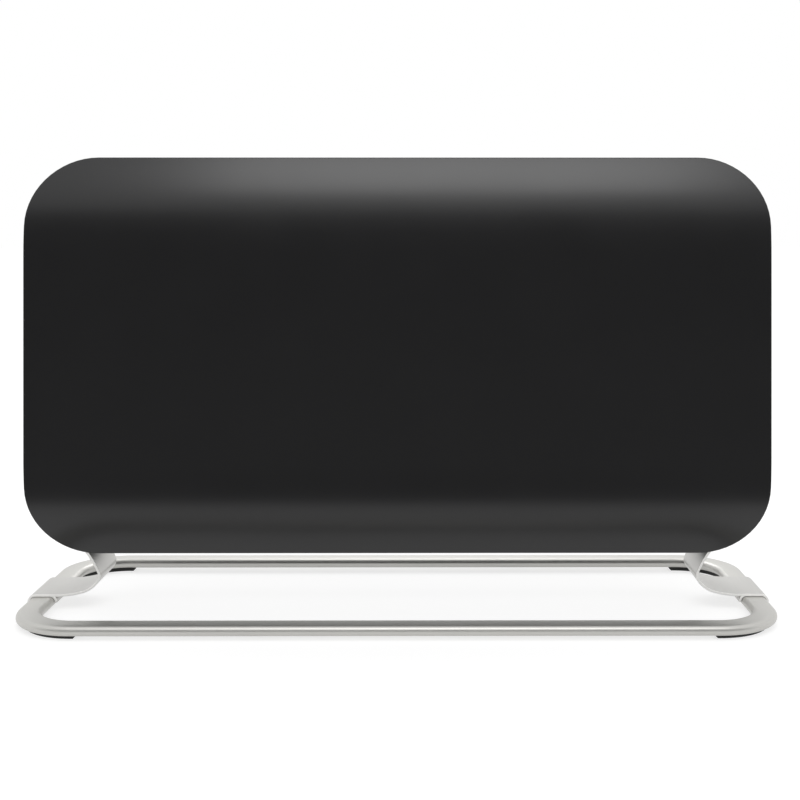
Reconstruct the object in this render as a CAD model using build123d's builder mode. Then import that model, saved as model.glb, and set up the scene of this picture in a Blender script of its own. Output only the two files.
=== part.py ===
from build123d import *
import math
import os

# Convector heater on a loop base. Millimetres, +X to the right, -Y to the front, +Z up.
# The origin is on the floor, under the middle of the base.
os.makedirs("parts", exist_ok=True)
sides = {"left": -1, "right": 1}

# Body: two curved sheet panels, one rounded rectangle in front view
body_width = 750.0
panel_height = 403.0
panel_bottom = 58.5
corner_radius = 70.0
body_depth = 120.0
bend_height = 100.0
bend_draw = 22.0
bend_overrun = 10.0
sheet = 1.5
rim_depth = 3.0
rim_rounding = 0.6

# Vents of the rear panel
vent_length = 52.0
vent_width = 5.0
vent_pitch_x = 66.0
vent_pitch_z = 14.0
vent_columns = 8
vent_rows = 3
vent_lift = 74.0

# Casing between the panels: end caps, outlet grille and intake plate
casing_inset = 12.0
casing_gap = 0.2
cap_wall = 2.5
cap_reach = 75.0
cap_lip = 2.0
cap_lip_width = 6.0
end_gap = 0.3
grille_depth = 6.0
grille_slot = 5.5
grille_pitch = 9.0
grille_margin = 7.0
plate_sheet = 1.2
plate_lip_width = 8.0
intake_slot = 6.0
intake_pitch = 14.0
intake_margin = 11.0

# Grip recess of each end cap
grip_drop = 92.0
grip_width = 80.0
grip_height = 34.0
grip_depth = 22.0

# Base: a flat-oval tube loop in two halves, as wide as the panels and joined under the legs
base_depth = 280.0
tube_width = 25.0
tube_height = 10.0
tube_wall = 1.5
tube_bend = 54.0
half_gap = 0.15
joiner_length = 84.0
joiner_gap = 0.2
foot_thickness = 4.0
foot_width = 13.0
foot_run = 5.0
foot_chamfer = 2.5
peg_radius = 2.4
peg_height = 4.0
peg_gap = 0.1
peg_angle = 45.0

# Legs: extruded saddle brackets with a curl that carries the body
leg_depth = 68.0
leg_plate = 2.5
leg_chamfer = 0.3
saddle_gap = 0.2
saddle_lip_drop = 0.5
curl_radius = 22.0
curl_height = 31.0
curl_slope = 45.0
flange_lift = 3.25
flange_setback = 18.4
flange_length = 16.0
flange_bend = 5.0

# Pad of each end cap over its leg
pad_length = 22.0
pad_depth = 64.0
pad_rise = 17.5
pad_pocket = 24.0
pad_pocket_wall = 3.0

# Steel end brackets inside the body
bracket_setback = 65.0
bracket_sheet = 1.2
bracket_flange = 14.0
bracket_top_gap = 4.0

# Heating elements between two heat shields
shield_sheet = 0.8
shield_setback = 17.0
shield_lift = 45.0
shield_height = 316.0
shield_flange = 12.0
element_end_gap = 28.0
element_lift = 90.0
element_pitch = 65.0
element_arm = 30.0
element_fin = 2.0
element_angle = 38.0
element_hub = 7.0
element_rib = 12.0
element_rib_place = 20.0
rod_radius = 4.4
rod_reach = 14.0
rod_gap = 0.1
stud_radius = 2.0
stud_length = 14.0
bush_radius = 7.0
bush_collar = 10.0
bush_collar_length = 3.0
bush_length = 11.0

# Controls in a recess of the right end cap, below the grip
control_drop = 23.0
control_height = 126.0
control_width = 72.0
control_depth = 13.0
fascia_sheet = 2.0
fascia_gap = 0.4
knob_drop = 8.0
knob_spacing = 52.0
knob_radius = 16.5
knob_skirt_radius = 21.0
knob_skirt = 3.0
knob_height = 17.0
knob_gap = 0.6
knob_taper = 5.0
pointer_width = 2.0
pointer_height = 0.8
shaft_radius = 3.0
shaft_gap = 0.05
shaft_fit = 0.02
shaft_in_knob = 11.0
shaft_end_gap = 0.3
neck_radius = 4.7
neck_gap = 0.3
thermostat_radius = 15.0
thermostat_length = 22.0
selector_side = 26.0
selector_length = 18.0
switch_wall = 2.5
strap_length = 58.0
strap_width = 12.0
strap_sheet = 2.0
lamp_lift = 52.0
lamp_radius = 4.5
lamp_body_radius = 3.4
lamp_body_length = 18.0
lamp_dome = 2.0
lamp_rounding = 1.2

# Cord inlet, low on the right end cap
inlet_y = 26.0
inlet_drop = 44.0
inlet_bore = 3.75
inlet_radius = 7.5
inlet_flange_radius = 10.5
inlet_flange = 3.0
inlet_length = 17.0
inlet_rounding = 1.0

# Electrical pieces on the right end bracket and the rear shield
terminal_width = 34.0
terminal_height = 22.0
terminal_depth = 14.0
terminal_y = 22.0
terminal_lift = 137.0
terminal_ways = 3
terminal_hole = 2.2
cutout_radius = 8.5
cutout_length = 7.0
cutout_x = 150.0
cutout_lift = 270.0

# Tip-over switch: a weight that hangs from a pin between two ears
tilt_y = -30.0
tilt_lift = 126.0
tilt_width = 18.0
tilt_span = 18.0
tilt_sheet = 1.2
tilt_ear = 11.0
tilt_pin_radius = 1.5
tilt_pin_head = 2.5
tilt_gap = 0.05
tilt_hub_radius = 4.0
tilt_hub_gap = 1.0
tilt_arm = 24.0
tilt_arm_width = 4.0
tilt_weight_radius = 8.0

# Fasteners
hole_gap = 0.1
leg_screw_radius = 2.5
leg_screw_y = 22.0
base_screw_radius = 2.5
base_screw_y = 20.0
base_screw_grip = 1.8
panel_screw_radius = 2.0
panel_screw_spread = 150.0
cap_screw_radius = 2.0
cap_screw_setback = 13.0
cap_screw_lift = 62.0
cap_screw_sink = 3.0
cap_boss_radius = 6.2
switch_screw_radius = 1.5
switch_screw_y = 25.0
switch_screw_length = 9.0
head_share = 2.0
head_height = 2.2
head_gap = 0.4
nut_height = 3.2
nut_share = 2.1
thread_proud = 2.0

# Body places
panel_top = panel_bottom + panel_height
panel_mid = panel_bottom + panel_height / 2
bend_low = panel_bottom + bend_height
bend_high = panel_top - bend_height
panel_bend = (bend_height**2 + bend_draw**2) / (2 * bend_draw)
skin = sheet + casing_gap
casing_half = body_width / 2 - casing_inset
casing_low = panel_bottom + casing_inset
casing_high = panel_top - casing_inset
cap_end = casing_half - cap_reach
middle_half = cap_end - end_gap
grip_z = panel_top - grip_drop
bracket_x = casing_half - bracket_setback
bracket_face = bracket_x + bracket_sheet
shield_y = body_depth / 2 - shield_setback
shield_low = panel_bottom + shield_lift
element_low = panel_bottom + element_lift
element_half = bracket_x - element_end_gap
terminal_z = panel_bottom + terminal_lift
tilt_z = panel_bottom + tilt_lift

# Base and leg places, in the front view of the right leg
tube_x = (body_width - tube_width) / 2
tube_y = (base_depth - tube_width) / 2
tube_z = foot_thickness + tube_height / 2
saddle_x = tube_x - (tube_width - tube_height) / 2
saddle_z = tube_z + tube_height / 2 + saddle_gap + leg_plate / 2
flange_height = casing_low + flange_lift
flange_end = casing_half - flange_setback
flange_start = flange_end - flange_length
curl_end = math.radians(curl_slope)
curl_z = tube_z + curl_height
curl_end_z = curl_z + curl_radius * math.cos(curl_end)
curl_end_x = flange_start - (flange_height - curl_end_z) / math.tan(curl_end)
curl_x = curl_end_x + curl_radius * math.sin(curl_end)
curl_distance = math.hypot(saddle_x - curl_x, curl_z - saddle_z)
curl_start = math.atan2(curl_z - saddle_z, saddle_x - curl_x) - math.asin(curl_radius / curl_distance)
curl_start_point = (curl_x - curl_radius * math.sin(curl_start), curl_z - curl_radius * math.cos(curl_start))
flange_screw_x = flange_end - flange_length / 2 + leg_plate / 2
leg_top = flange_height + leg_plate / 2
shelf_z = leg_top + pad_rise
base_screw_length = tube_height + saddle_gap + base_screw_grip

# Control places
control_z = grip_z - (grip_height + control_height) / 2 - control_drop
recess_x = casing_half - control_depth
fascia_x = recess_x + fascia_sheet
knob_x = fascia_x + knob_gap
strap_x = recess_x - cap_wall - strap_sheet
thermostat_z = control_z - knob_drop + knob_spacing / 2
selector_z = control_z - knob_drop - knob_spacing / 2
lamp_z = control_z + lamp_lift
inlet_z = control_z - control_height / 2 - inlet_drop


def keep(part, label):
    """Label a finished piece and write its file."""
    part.label = label
    export_step(part, f"parts/{label}.step")


def body_space(depth_inset, edge_inset):
    """Space of the body, drawn in from its outer faces and from its outline in front view."""
    flat = body_depth / 2 - depth_inset
    low = panel_bottom - bend_overrun
    high = panel_top + bend_overrun
    reach = bend_height + bend_overrun
    edge = math.sqrt((panel_bend - depth_inset) ** 2 - reach**2) - panel_bend + body_depth / 2
    with BuildPart() as space:
        with BuildSketch(Plane.YZ):
            with BuildLine():
                Line((flat, bend_low), (flat, bend_high))
                TangentArc((flat, bend_high), (edge, high), tangent=(0, 1))
                Polyline((edge, high), (0, high), (0, low), (edge, low))
                TangentArc((flat, bend_low), (edge, low), tangent=(0, -1))
            make_face()
            mirror(about=Plane.YZ)
        extrude(amount=body_width / 2, both=True)
        with BuildSketch(Plane.XZ):
            with Locations((0, panel_mid)):
                RectangleRounded(
                    body_width - 2 * edge_inset,
                    panel_height - 2 * edge_inset,
                    corner_radius - edge_inset,
                )
        extrude(amount=body_depth, both=True, mode=Mode.INTERSECT)
    return space.part


def block(x, y, z, mode=Mode.ADD):
    """Box over three ranges, added to the piece in hand or taken from it."""
    with Locations((sum(x) / 2, sum(y) / 2, sum(z) / 2)):
        Box(abs(x[1] - x[0]), y[1] - y[0], z[1] - z[0], mode=mode)


def centred(width, middle=0.0):
    """Range of a width about its middle."""
    return (middle - width / 2, middle + width / 2)


def drill(places, radius, depth):
    """Round holes of one depth on both sides of their places."""
    with Locations(*places):
        Hole(radius, depth)


def bar(place, radius, low, high, mode=Mode.ADD):
    """Round bar along a place's axis, from low to high."""
    with Locations(place.offset((low + high) / 2)):
        Cylinder(radius, high - low, mode=mode)


def screws(places, radius, length):
    """Pan-head screws: the head stands on its place and the shank runs inwards."""
    with BuildPart() as group:
        for place in places:
            bar(place, radius, -length, 0)
            bar(place, radius * head_share, 0, head_height)
    return group.part


def nuts(places, radius, depth):
    """Hexagon nuts behind what the screws at these places clamp."""
    with BuildPart() as group:
        for place in places:
            with BuildSketch(place.offset(-depth - nut_height)) as nut:
                RegularPolygon(radius * nut_share, 6)
                Circle(radius + hole_gap, mode=Mode.SUBTRACT)
            extrude(nut.sketch, amount=nut_height)
    return group.part


def panel_screw_places(facing):
    """Places of a panel's fixings, facing out of it: -1 in front, 1 at the rear."""
    x = bracket_face + (bracket_flange - bracket_sheet) / 2
    return [
        Plane(origin=(side * x, facing * body_depth / 2, z), x_dir=(1, 0, 0), z_dir=(0, facing, 0))
        for side in sides.values()
        for z in centred(panel_screw_spread, panel_mid)
    ]


def leg_screw_places(side):
    """Places under a leg's flange, facing down."""
    underside = flange_height - leg_plate / 2
    return [
        Plane(origin=(side * flange_screw_x, y, underside), x_dir=(1, 0, 0), z_dir=(0, 0, -1))
        for y in (-leg_screw_y, leg_screw_y)
    ]


def base_screw_places(side):
    """Places under the two tube ends below a leg, facing down."""
    return [
        Plane(origin=(side * tube_x, y, foot_thickness), x_dir=(1, 0, 0), z_dir=(0, 0, -1))
        for y in (-base_screw_y, base_screw_y)
    ]


def side_place(side, x, y, z):
    """Place that faces outwards at one end of the body."""
    return Plane(origin=(side * x, y, z), x_dir=(0, 1, 0), z_dir=(side, 0, 0))


def cap_screw_places(side):
    """Seats of an end cap's screws, sunk into its side wall."""
    across = body_depth / 2 - cap_screw_setback
    return [
        side_place(side, casing_half - cap_screw_sink, y, panel_mid + cap_screw_lift)
        for y in (-across, across)
    ]


def rod_places(side):
    """Places where the heater rods pass an end bracket."""
    return [side_place(side, bracket_x, 0, element_low + row * element_pitch) for row in (0, 1)]


def switch_screw_places(x):
    """Places of the screws that hold both switches, beside their knobs."""
    return [
        side_place(1, x, y, z)
        for z in (thermostat_z, selector_z)
        for y in (-switch_screw_y, switch_screw_y)
    ]


# Curved sheet panels
body_outer = body_space(0, 0)
panel_recess = body_space(sheet, sheet)
behind_rim = body_space(rim_depth, 0)


def on_rim(edge):
    """True for an edge where a panel's outer face meets its rim."""
    middle = edge @ 0.5
    in_bend = max(bend_low - middle.Z, middle.Z - bend_high, 0)
    outer_face = body_depth / 2 - panel_bend + math.sqrt(panel_bend**2 - in_bend**2)
    across_bend = abs(middle.X) < 1 and panel_bottom + 1 < middle.Z < panel_top - 1
    return abs(abs(middle.Y) - outer_face) < 0.01 and not across_bend


def curved_panel(facing):
    """Sheet panel with its edge turned in all round."""
    with BuildPart() as panel:
        add(body_outer)
        add(panel_recess, mode=Mode.SUBTRACT)
        add(behind_rim, mode=Mode.SUBTRACT)
        split(bisect_by=Plane.XZ, keep=Keep.TOP if facing < 0 else Keep.BOTTOM)
        fillet(panel.edges().filter_by(on_rim), radius=rim_rounding)
    return panel.part


keep(curved_panel(-1), "front_panel")

plain_rear_panel = curved_panel(1)
with BuildPart() as rear_panel:
    add(plain_rear_panel)
    for lift in (vent_lift, panel_height - vent_lift):
        with BuildSketch(Plane.XZ.offset(-body_depth)):
            with Locations((0, panel_bottom + lift)):
                with GridLocations(vent_pitch_x, vent_pitch_z, vent_columns, vent_rows):
                    Rectangle(vent_length, vent_width)
        extrude(amount=body_depth, mode=Mode.SUBTRACT)
    drill(panel_screw_places(1), panel_screw_radius + hole_gap, 2 * sheet)
keep(rear_panel.part, "rear_panel")

# Moulded end caps: a channel with lips along the panels, a grip recess and a pad over the leg
casing_outer = body_space(skin, casing_inset)
inside_lips = body_space(skin + cap_lip, casing_inset + cap_wall)
between_lips = body_space(0, casing_inset + cap_wall + cap_lip_width)

with BuildPart() as cap_ring:
    add(casing_outer)
    add(inside_lips, mode=Mode.SUBTRACT)
    add(between_lips, mode=Mode.SUBTRACT)


def grip_recess(side):
    """Pocket for the fingers in an end cap's side wall."""
    for mode, wall in ((Mode.ADD, cap_wall), (Mode.SUBTRACT, 0)):
        block(
            (side * (casing_half - grip_depth - wall), side * casing_half),
            centred(grip_width + 2 * wall),
            centred(grip_height + 2 * wall, grip_z),
            mode,
        )


def leg_pad(side):
    """Hollow block on an end cap that stands on the leg's flange and carries the end bracket."""
    pad_x = (side * (flange_end - pad_length), side * flange_end)
    pocket_x = (pad_x[0] + side * pad_pocket_wall, pad_x[1] - side * pad_pocket_wall)
    block(pad_x, centred(pad_depth), (leg_top, shelf_z))
    block(pocket_x, centred(pad_pocket), (leg_top + pad_pocket_wall, shelf_z), Mode.SUBTRACT)
    drill(leg_screw_places(side), leg_screw_radius + hole_gap, shelf_z - flange_height + leg_plate)


def cap_bosses(side):
    """Long bosses from the side wall to the end bracket, with sunk screw seats."""
    places = cap_screw_places(side)
    length = casing_half - cap_screw_sink - bracket_face
    for place in places:
        bar(place, cap_boss_radius, -length, cap_screw_sink - cap_wall / 2)
    drill(places, cap_screw_radius + hole_gap, length)
    for place in places:
        bar(place, cap_screw_radius * head_share + head_gap, 0, cap_screw_sink, Mode.SUBTRACT)


def end_cap(side):
    """End cap without the openings for the controls."""
    with BuildPart() as cap:
        add(cap_ring.part)
        split(bisect_by=Plane.YZ.offset(side * cap_end), keep=Keep.TOP if side > 0 else Keep.BOTTOM)
        grip_recess(side)
        leg_pad(side)
        cap_bosses(side)
    return cap.part


keep(end_cap(-1), "end_cap_left")

plain_right_cap = end_cap(1)
inlet_place = side_place(1, casing_half, inlet_y, inlet_z)
with BuildPart() as end_cap_right:
    add(plain_right_cap)
    for mode, wall in ((Mode.ADD, cap_wall), (Mode.SUBTRACT, 0)):
        block(
            (recess_x - wall, casing_half),
            centred(control_width + 2 * wall),
            centred(control_height + 2 * wall, control_z),
            mode,
        )
    neck_places = [side_place(1, recess_x, 0, z) for z in (thermostat_z, selector_z)]
    drill(neck_places, neck_radius + neck_gap, 2 * cap_wall)
    drill([side_place(1, recess_x, 0, lamp_z)], lamp_body_radius + neck_gap, 2 * cap_wall)
    drill(switch_screw_places(recess_x), switch_screw_radius + hole_gap, 2 * cap_wall)
    drill([inlet_place], inlet_radius + hole_gap, 2 * cap_wall)
keep(end_cap_right.part, "end_cap_right")

# Outlet grille along the top
grille_inside = body_space(0, casing_inset + grille_depth)
with BuildPart() as top_grille:
    add(casing_outer)
    add(grille_inside, mode=Mode.SUBTRACT)
    block(centred(2 * middle_half), centred(2 * body_depth), (panel_mid, panel_top), Mode.INTERSECT)
    grille_edge = top_grille.faces().sort_by(Axis.Z)[-1].bounding_box().max.Y
    with BuildSketch(Plane.XY.offset(casing_high)):
        with GridLocations(grille_pitch, 1, int(2 * middle_half / grille_pitch) - 1, 1):
            Rectangle(grille_slot, 2 * (grille_edge - grille_margin))
    extrude(amount=-2 * grille_depth, mode=Mode.SUBTRACT)
keep(top_grille.part, "top_grille")

# Intake plate along the bottom
plate_inside = body_space(skin + plate_sheet, casing_inset + plate_sheet)
between_plate_lips = body_space(0, casing_inset + plate_sheet + plate_lip_width)
with BuildPart() as bottom_plate:
    add(casing_outer)
    add(plate_inside, mode=Mode.SUBTRACT)
    add(between_plate_lips, mode=Mode.SUBTRACT)
    block(centred(2 * middle_half), centred(2 * body_depth), (panel_bottom, panel_mid), Mode.INTERSECT)
    plate_edge = bottom_plate.faces().sort_by(Axis.Z)[0].bounding_box().max.Y
    with BuildSketch(Plane.XY.offset(casing_low)):
        with GridLocations(intake_pitch, 1, int(2 * middle_half / intake_pitch) - 1, 1):
            Rectangle(intake_slot, 2 * (plate_edge - intake_margin))
    extrude(amount=2 * plate_sheet, mode=Mode.SUBTRACT)
keep(bottom_plate.part, "bottom_plate")

# Steel end brackets: a web across the body, flanges along the panels and a shelf on the pad
bracket_top = casing_high - cap_wall - cap_lip_width - bracket_top_gap
bracket_inside = body_space(skin + bracket_sheet, casing_inset)


def end_bracket(side):
    """Pressed tray that the panels, the cap and the elements are fixed to."""
    tray_x = (side * bracket_x, side * (bracket_x + bracket_flange))
    hollow_x = (side * bracket_face, side * (bracket_face + bracket_flange))
    with BuildPart() as hollow:
        add(bracket_inside)
        block(hollow_x, centred(2 * body_depth), (panel_bottom, panel_top), Mode.INTERSECT)
    with BuildPart() as tray:
        add(casing_outer)
        block(tray_x, centred(2 * body_depth), (shelf_z, bracket_top), Mode.INTERSECT)
        add(hollow.part, mode=Mode.SUBTRACT)
        block(
            (side * bracket_x, side * (flange_end - bracket_sheet)),
            centred(pad_depth),
            (shelf_z, shelf_z + bracket_sheet),
        )
        drill(leg_screw_places(side), leg_screw_radius + hole_gap, shelf_z)
        for facing in (-1, 1):
            drill(panel_screw_places(facing), panel_screw_radius + hole_gap, 2 * (skin + bracket_sheet))
        drill(cap_screw_places(side), cap_screw_radius + hole_gap, casing_half - bracket_x)
        drill(rod_places(side), bush_radius + hole_gap, 2 * bracket_sheet)
    return tray.part


for name, side in sides.items():
    keep(end_bracket(side), f"end_bracket_{name}")


# Heat shields in front of and behind the elements, with flanges on the brackets' webs
def heat_shield(facing):
    """Bright sheet across the body."""
    face = sorted((facing * (shield_y - shield_sheet), facing * shield_y))
    flange = sorted((facing * (shield_y - shield_flange), facing * shield_y))
    height = (shield_low, shield_low + shield_height)
    with BuildPart() as shield:
        block(centred(2 * bracket_x), face, height)
        for side in sides.values():
            block((side * (bracket_x - shield_sheet), side * bracket_x), flange, height)
    return shield.part


keep(heat_shield(-1), "heat_shield_front")
keep(heat_shield(1), "heat_shield_rear")


# Heating elements: an X-section extrusion with a sheathed rod through its hub
def element(z):
    """Finned extrusion across the body."""
    with BuildPart() as fins:
        with BuildSketch(Plane.YZ):
            with Locations((0, z)):
                Circle(element_hub)
                for angle in (element_angle, 180 - element_angle, 180 + element_angle, -element_angle):
                    with PolarLocations(0, 1, start_angle=angle):
                        Rectangle(element_arm, element_fin, align=(Align.MIN, Align.CENTER))
                    with PolarLocations(element_rib_place, 1, start_angle=angle):
                        Rectangle(element_fin, element_rib)
                Circle(rod_radius + rod_gap, mode=Mode.SUBTRACT)
        extrude(amount=element_half, both=True)
    return fins.part


def heater_rod(z):
    """Sheathed rod with a threaded stud at each end."""
    middle = side_place(1, 0, 0, z)
    rod_half = bracket_x + rod_reach
    with BuildPart() as sheath:
        bar(middle, rod_radius, -rod_half, rod_half)
        for side in sides.values():
            bar(side_place(side, 0, 0, z), stud_radius, rod_half, rod_half + stud_length)
    return sheath.part


def rod_bushes(side):
    """Ceramic bushes that hold the rods in an end bracket."""
    with BuildPart() as bushes:
        for place in rod_places(side):
            bar(place, bush_collar, -bush_collar_length, 0)
            bar(place, bush_radius, 0, bush_length - bush_collar_length)
        drill(rod_places(side), rod_radius + rod_gap, bush_length)
    return bushes.part


for name, z in (("lower", element_low), ("upper", element_low + element_pitch)):
    keep(element(z), f"element_{name}")
    keep(heater_rod(z), f"heater_rod_{name}")
for name, side in sides.items():
    keep(rod_bushes(side), f"rod_bushes_{name}")


# Base tube: two U-shaped halves of hollow flat-oval section
def base_tube(facing):
    """One half of the loop, from leg to leg."""
    corners = [
        (-tube_x, facing * half_gap),
        (-tube_x, facing * tube_y),
        (tube_x, facing * tube_y),
        (tube_x, facing * half_gap),
    ]
    with BuildPart() as tube:
        with BuildLine(Plane.XY.offset(tube_z)) as route:
            FilletPolyline(*corners, radius=tube_bend)
        with BuildSketch(Plane(origin=route.line @ 0, x_dir=(1, 0, 0), z_dir=route.line % 0)):
            SlotOverall(tube_width, tube_height)
            SlotOverall(tube_width - 2 * tube_wall, tube_height - 2 * tube_wall, mode=Mode.SUBTRACT)
        sweep()
        for side in sides.values():
            drill([peg_place(side, facing)], peg_radius + peg_gap, 2 * tube_wall)
            place = base_screw_places(side)[0 if facing < 0 else 1]
            drill([place], base_screw_radius + hole_gap, 2 * tube_height)
    return tube.part


def peg_place(side, facing):
    """Place of a foot's peg, under the middle of the tube's bend."""
    along = tube_bend * (math.cos(math.radians(peg_angle)) - 1)
    across = tube_bend * (math.sin(math.radians(peg_angle)) - 1)
    return Plane((side * (tube_x + along), facing * (tube_y + across), foot_thickness))


keep(base_tube(-1), "base_tube_front")
keep(base_tube(1), "base_tube_rear")


# Joiner plugs inside the tube ends
def tube_joiner(side):
    """Plug that aligns the two halves of the loop under a leg."""
    slack = 2 * (tube_wall + joiner_gap)
    with BuildPart() as joiner:
        with BuildSketch(Plane.XZ):
            with Locations((side * tube_x, tube_z)):
                SlotOverall(tube_width - slack, tube_height - slack)
        extrude(amount=joiner_length / 2, both=True)
        drill(base_screw_places(side), base_screw_radius + hole_gap, 2 * tube_height)
    return joiner.part


for name, side in sides.items():
    keep(tube_joiner(side), f"tube_joiner_{name}")


# Rubber feet under the four bends
def is_strip_end(edge):
    """True for an edge across a foot's strip."""
    return abs(edge.length - foot_width) < 0.01


def foot(side, facing):
    """Strip that follows the bend, with a peg into the tube."""
    start = (side * tube_x, facing * (tube_y - tube_bend - foot_run))
    corner = (side * tube_x, facing * tube_y)
    finish = (side * (tube_x - tube_bend - foot_run), facing * tube_y)
    with BuildPart() as strip:
        with BuildSketch():
            with BuildLine():
                FilletPolyline(start, corner, finish, radius=tube_bend)
            trace(line_width=foot_width)
        extrude(amount=foot_thickness)
        sole = strip.faces().sort_by(Axis.Z)[0]
        chamfer(sole.edges().filter_by(GeomType.LINE).filter_by(is_strip_end), length=foot_chamfer)
        bar(peg_place(side, facing), peg_radius, 0, peg_height)
    return strip.part


for row, facing in (("front", -1), ("rear", 1)):
    for name, side in sides.items():
        keep(foot(side, facing), f"foot_{row}_{name}")

# Legs: the right one in front view, and its mirror image
saddle_slack = 2 * saddle_gap
with BuildPart() as leg_right:
    with BuildSketch(Plane.XZ):
        with BuildLine():
            Line((saddle_x, saddle_z), curl_start_point)
            CenterArc(
                (curl_x, curl_z),
                curl_radius,
                270 - math.degrees(curl_start),
                curl_slope + math.degrees(curl_start) - 180,
            )
            FilletPolyline(
                (curl_end_x, curl_end_z),
                (flange_start, flange_height),
                (flange_end, flange_height),
                radius=flange_bend,
            )
        trace(line_width=leg_plate)
        with Locations((tube_x, tube_z)):
            SlotOverall(tube_width + saddle_slack + 2 * leg_plate, tube_height + saddle_slack + 2 * leg_plate)
            SlotOverall(tube_width + saddle_slack, tube_height + saddle_slack, mode=Mode.SUBTRACT)
        with Locations((tube_x, tube_z - saddle_lip_drop)):
            Rectangle(2 * tube_width, 2 * tube_height, align=(Align.CENTER, Align.MAX), mode=Mode.SUBTRACT)
    extrude(amount=leg_depth / 2, both=True)
    end_faces = leg_right.faces().filter_by(Axis.Y)
    chamfer(end_faces.edges(), length=leg_chamfer)
    drill(leg_screw_places(1), leg_screw_radius + hole_gap, 2 * leg_plate)
    for place in base_screw_places(1):
        bar(place, base_screw_radius + hole_gap, -base_screw_length, 0, Mode.SUBTRACT)
keep(leg_right.part, "leg_right")
keep(leg_right.part.mirror(Plane.YZ), "leg_left")

# Fascia, thermostat, selector switch and lamp
with BuildPart() as control_fascia:
    block(
        (recess_x, fascia_x),
        centred(control_width - 2 * fascia_gap),
        centred(control_height - 2 * fascia_gap, control_z),
    )
    drill(neck_places, neck_radius + neck_gap, control_depth)
    drill([side_place(1, recess_x, 0, lamp_z)], lamp_body_radius + neck_gap, control_depth)
    drill(switch_screw_places(recess_x), switch_screw_radius + hole_gap, control_depth)
keep(control_fascia.part, "control_fascia")


def switch_mount(z):
    """Strap behind the recess and neck through the fascia, common to both switches."""
    block((strap_x, strap_x + strap_sheet), centred(strap_length), centred(strap_width, z))
    bar(side_place(1, 0, 0, z), neck_radius, strap_x, fascia_x)
    drill(switch_screw_places(strap_x), switch_screw_radius + hole_gap, strap_sheet)


def shaft_bore(z, body_length):
    """Blind bore for the shaft through a switch and its neck."""
    bore_end = strap_x - body_length + switch_wall
    bar(side_place(1, 0, 0, z), shaft_radius + shaft_gap, bore_end, knob_x, Mode.SUBTRACT)


def control_shaft(z, body_length):
    """Shaft from inside a switch to inside its knob."""
    shaft_end = strap_x - body_length + switch_wall + shaft_end_gap
    with BuildPart() as shaft:
        bar(side_place(1, 0, 0, z), shaft_radius, shaft_end, knob_x + shaft_in_knob)
    return shaft.part


def control_knob(z):
    """Skirted knob with a raised pointer."""
    place = side_place(1, 0, 0, z)
    with BuildPart() as knob:
        bar(place, knob_skirt_radius, knob_x, knob_x + knob_skirt)
        with BuildSketch(place.offset(knob_x + knob_skirt)) as grip:
            Circle(knob_radius)
        extrude(grip.sketch, amount=knob_height - knob_skirt, taper=knob_taper)
        bar(place, shaft_radius + shaft_fit, knob_x, knob_x + shaft_in_knob, Mode.SUBTRACT)
        block(
            (knob_x + knob_height, knob_x + knob_height + pointer_height),
            centred(pointer_width),
            (z, z + knob_radius - 2 * pointer_width),
        )
    return knob.part


with BuildPart() as thermostat_body:
    bar(side_place(1, 0, 0, thermostat_z), thermostat_radius, strap_x - thermostat_length, strap_x)
    switch_mount(thermostat_z)
    shaft_bore(thermostat_z, thermostat_length)
keep(thermostat_body.part, "thermostat_body")
keep(control_shaft(thermostat_z, thermostat_length), "thermostat_shaft")
keep(control_knob(thermostat_z), "thermostat_knob")

with BuildPart() as selector_body:
    block((strap_x - selector_length, strap_x), centred(selector_side), centred(selector_side, selector_z))
    switch_mount(selector_z)
    shaft_bore(selector_z, selector_length)
keep(selector_body.part, "selector_body")
keep(control_shaft(selector_z, selector_length), "selector_shaft")
keep(control_knob(selector_z), "selector_knob")

with BuildPart() as indicator_lamp:
    lamp_place = side_place(1, 0, 0, lamp_z)
    bar(lamp_place, lamp_body_radius, fascia_x - lamp_body_length, fascia_x)
    bar(lamp_place, lamp_radius, fascia_x, fascia_x + lamp_dome)
    fillet(indicator_lamp.edges().sort_by(Axis.X)[-1], radius=lamp_rounding)
keep(indicator_lamp.part, "indicator_lamp")

# Cord inlet bush
with BuildPart() as cord_inlet:
    bar(inlet_place, inlet_flange_radius, 0, inlet_flange)
    fillet(cord_inlet.edges().sort_by(Axis.X)[-1], radius=inlet_rounding)
    bar(inlet_place, inlet_radius, inlet_flange - inlet_length, 0)
    drill([inlet_place], inlet_bore, inlet_length)
keep(cord_inlet.part, "cord_inlet")

# Terminal block on the right bracket
with BuildPart() as terminal_block:
    block(
        (bracket_face, bracket_face + terminal_depth),
        centred(terminal_width, terminal_y),
        centred(terminal_height, terminal_z),
    )
    with BuildSketch(side_place(1, bracket_face + terminal_depth, terminal_y, terminal_z)):
        with GridLocations(terminal_width / terminal_ways, terminal_height / 2, terminal_ways, 2):
            Circle(terminal_hole)
    extrude(amount=-terminal_depth / 2, mode=Mode.SUBTRACT)
keep(terminal_block.part, "terminal_block")

# Thermal cutout on the rear shield
with BuildPart() as thermal_cutout:
    cutout_place = Plane(
        origin=(cutout_x, shield_y - shield_sheet, panel_bottom + cutout_lift),
        x_dir=(1, 0, 0),
        z_dir=(0, -1, 0),
    )
    bar(cutout_place, cutout_radius, 0, cutout_length)
    bar(cutout_place, cutout_radius / 2, cutout_length, cutout_length + shield_sheet)
keep(thermal_cutout.part, "thermal_cutout")

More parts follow.
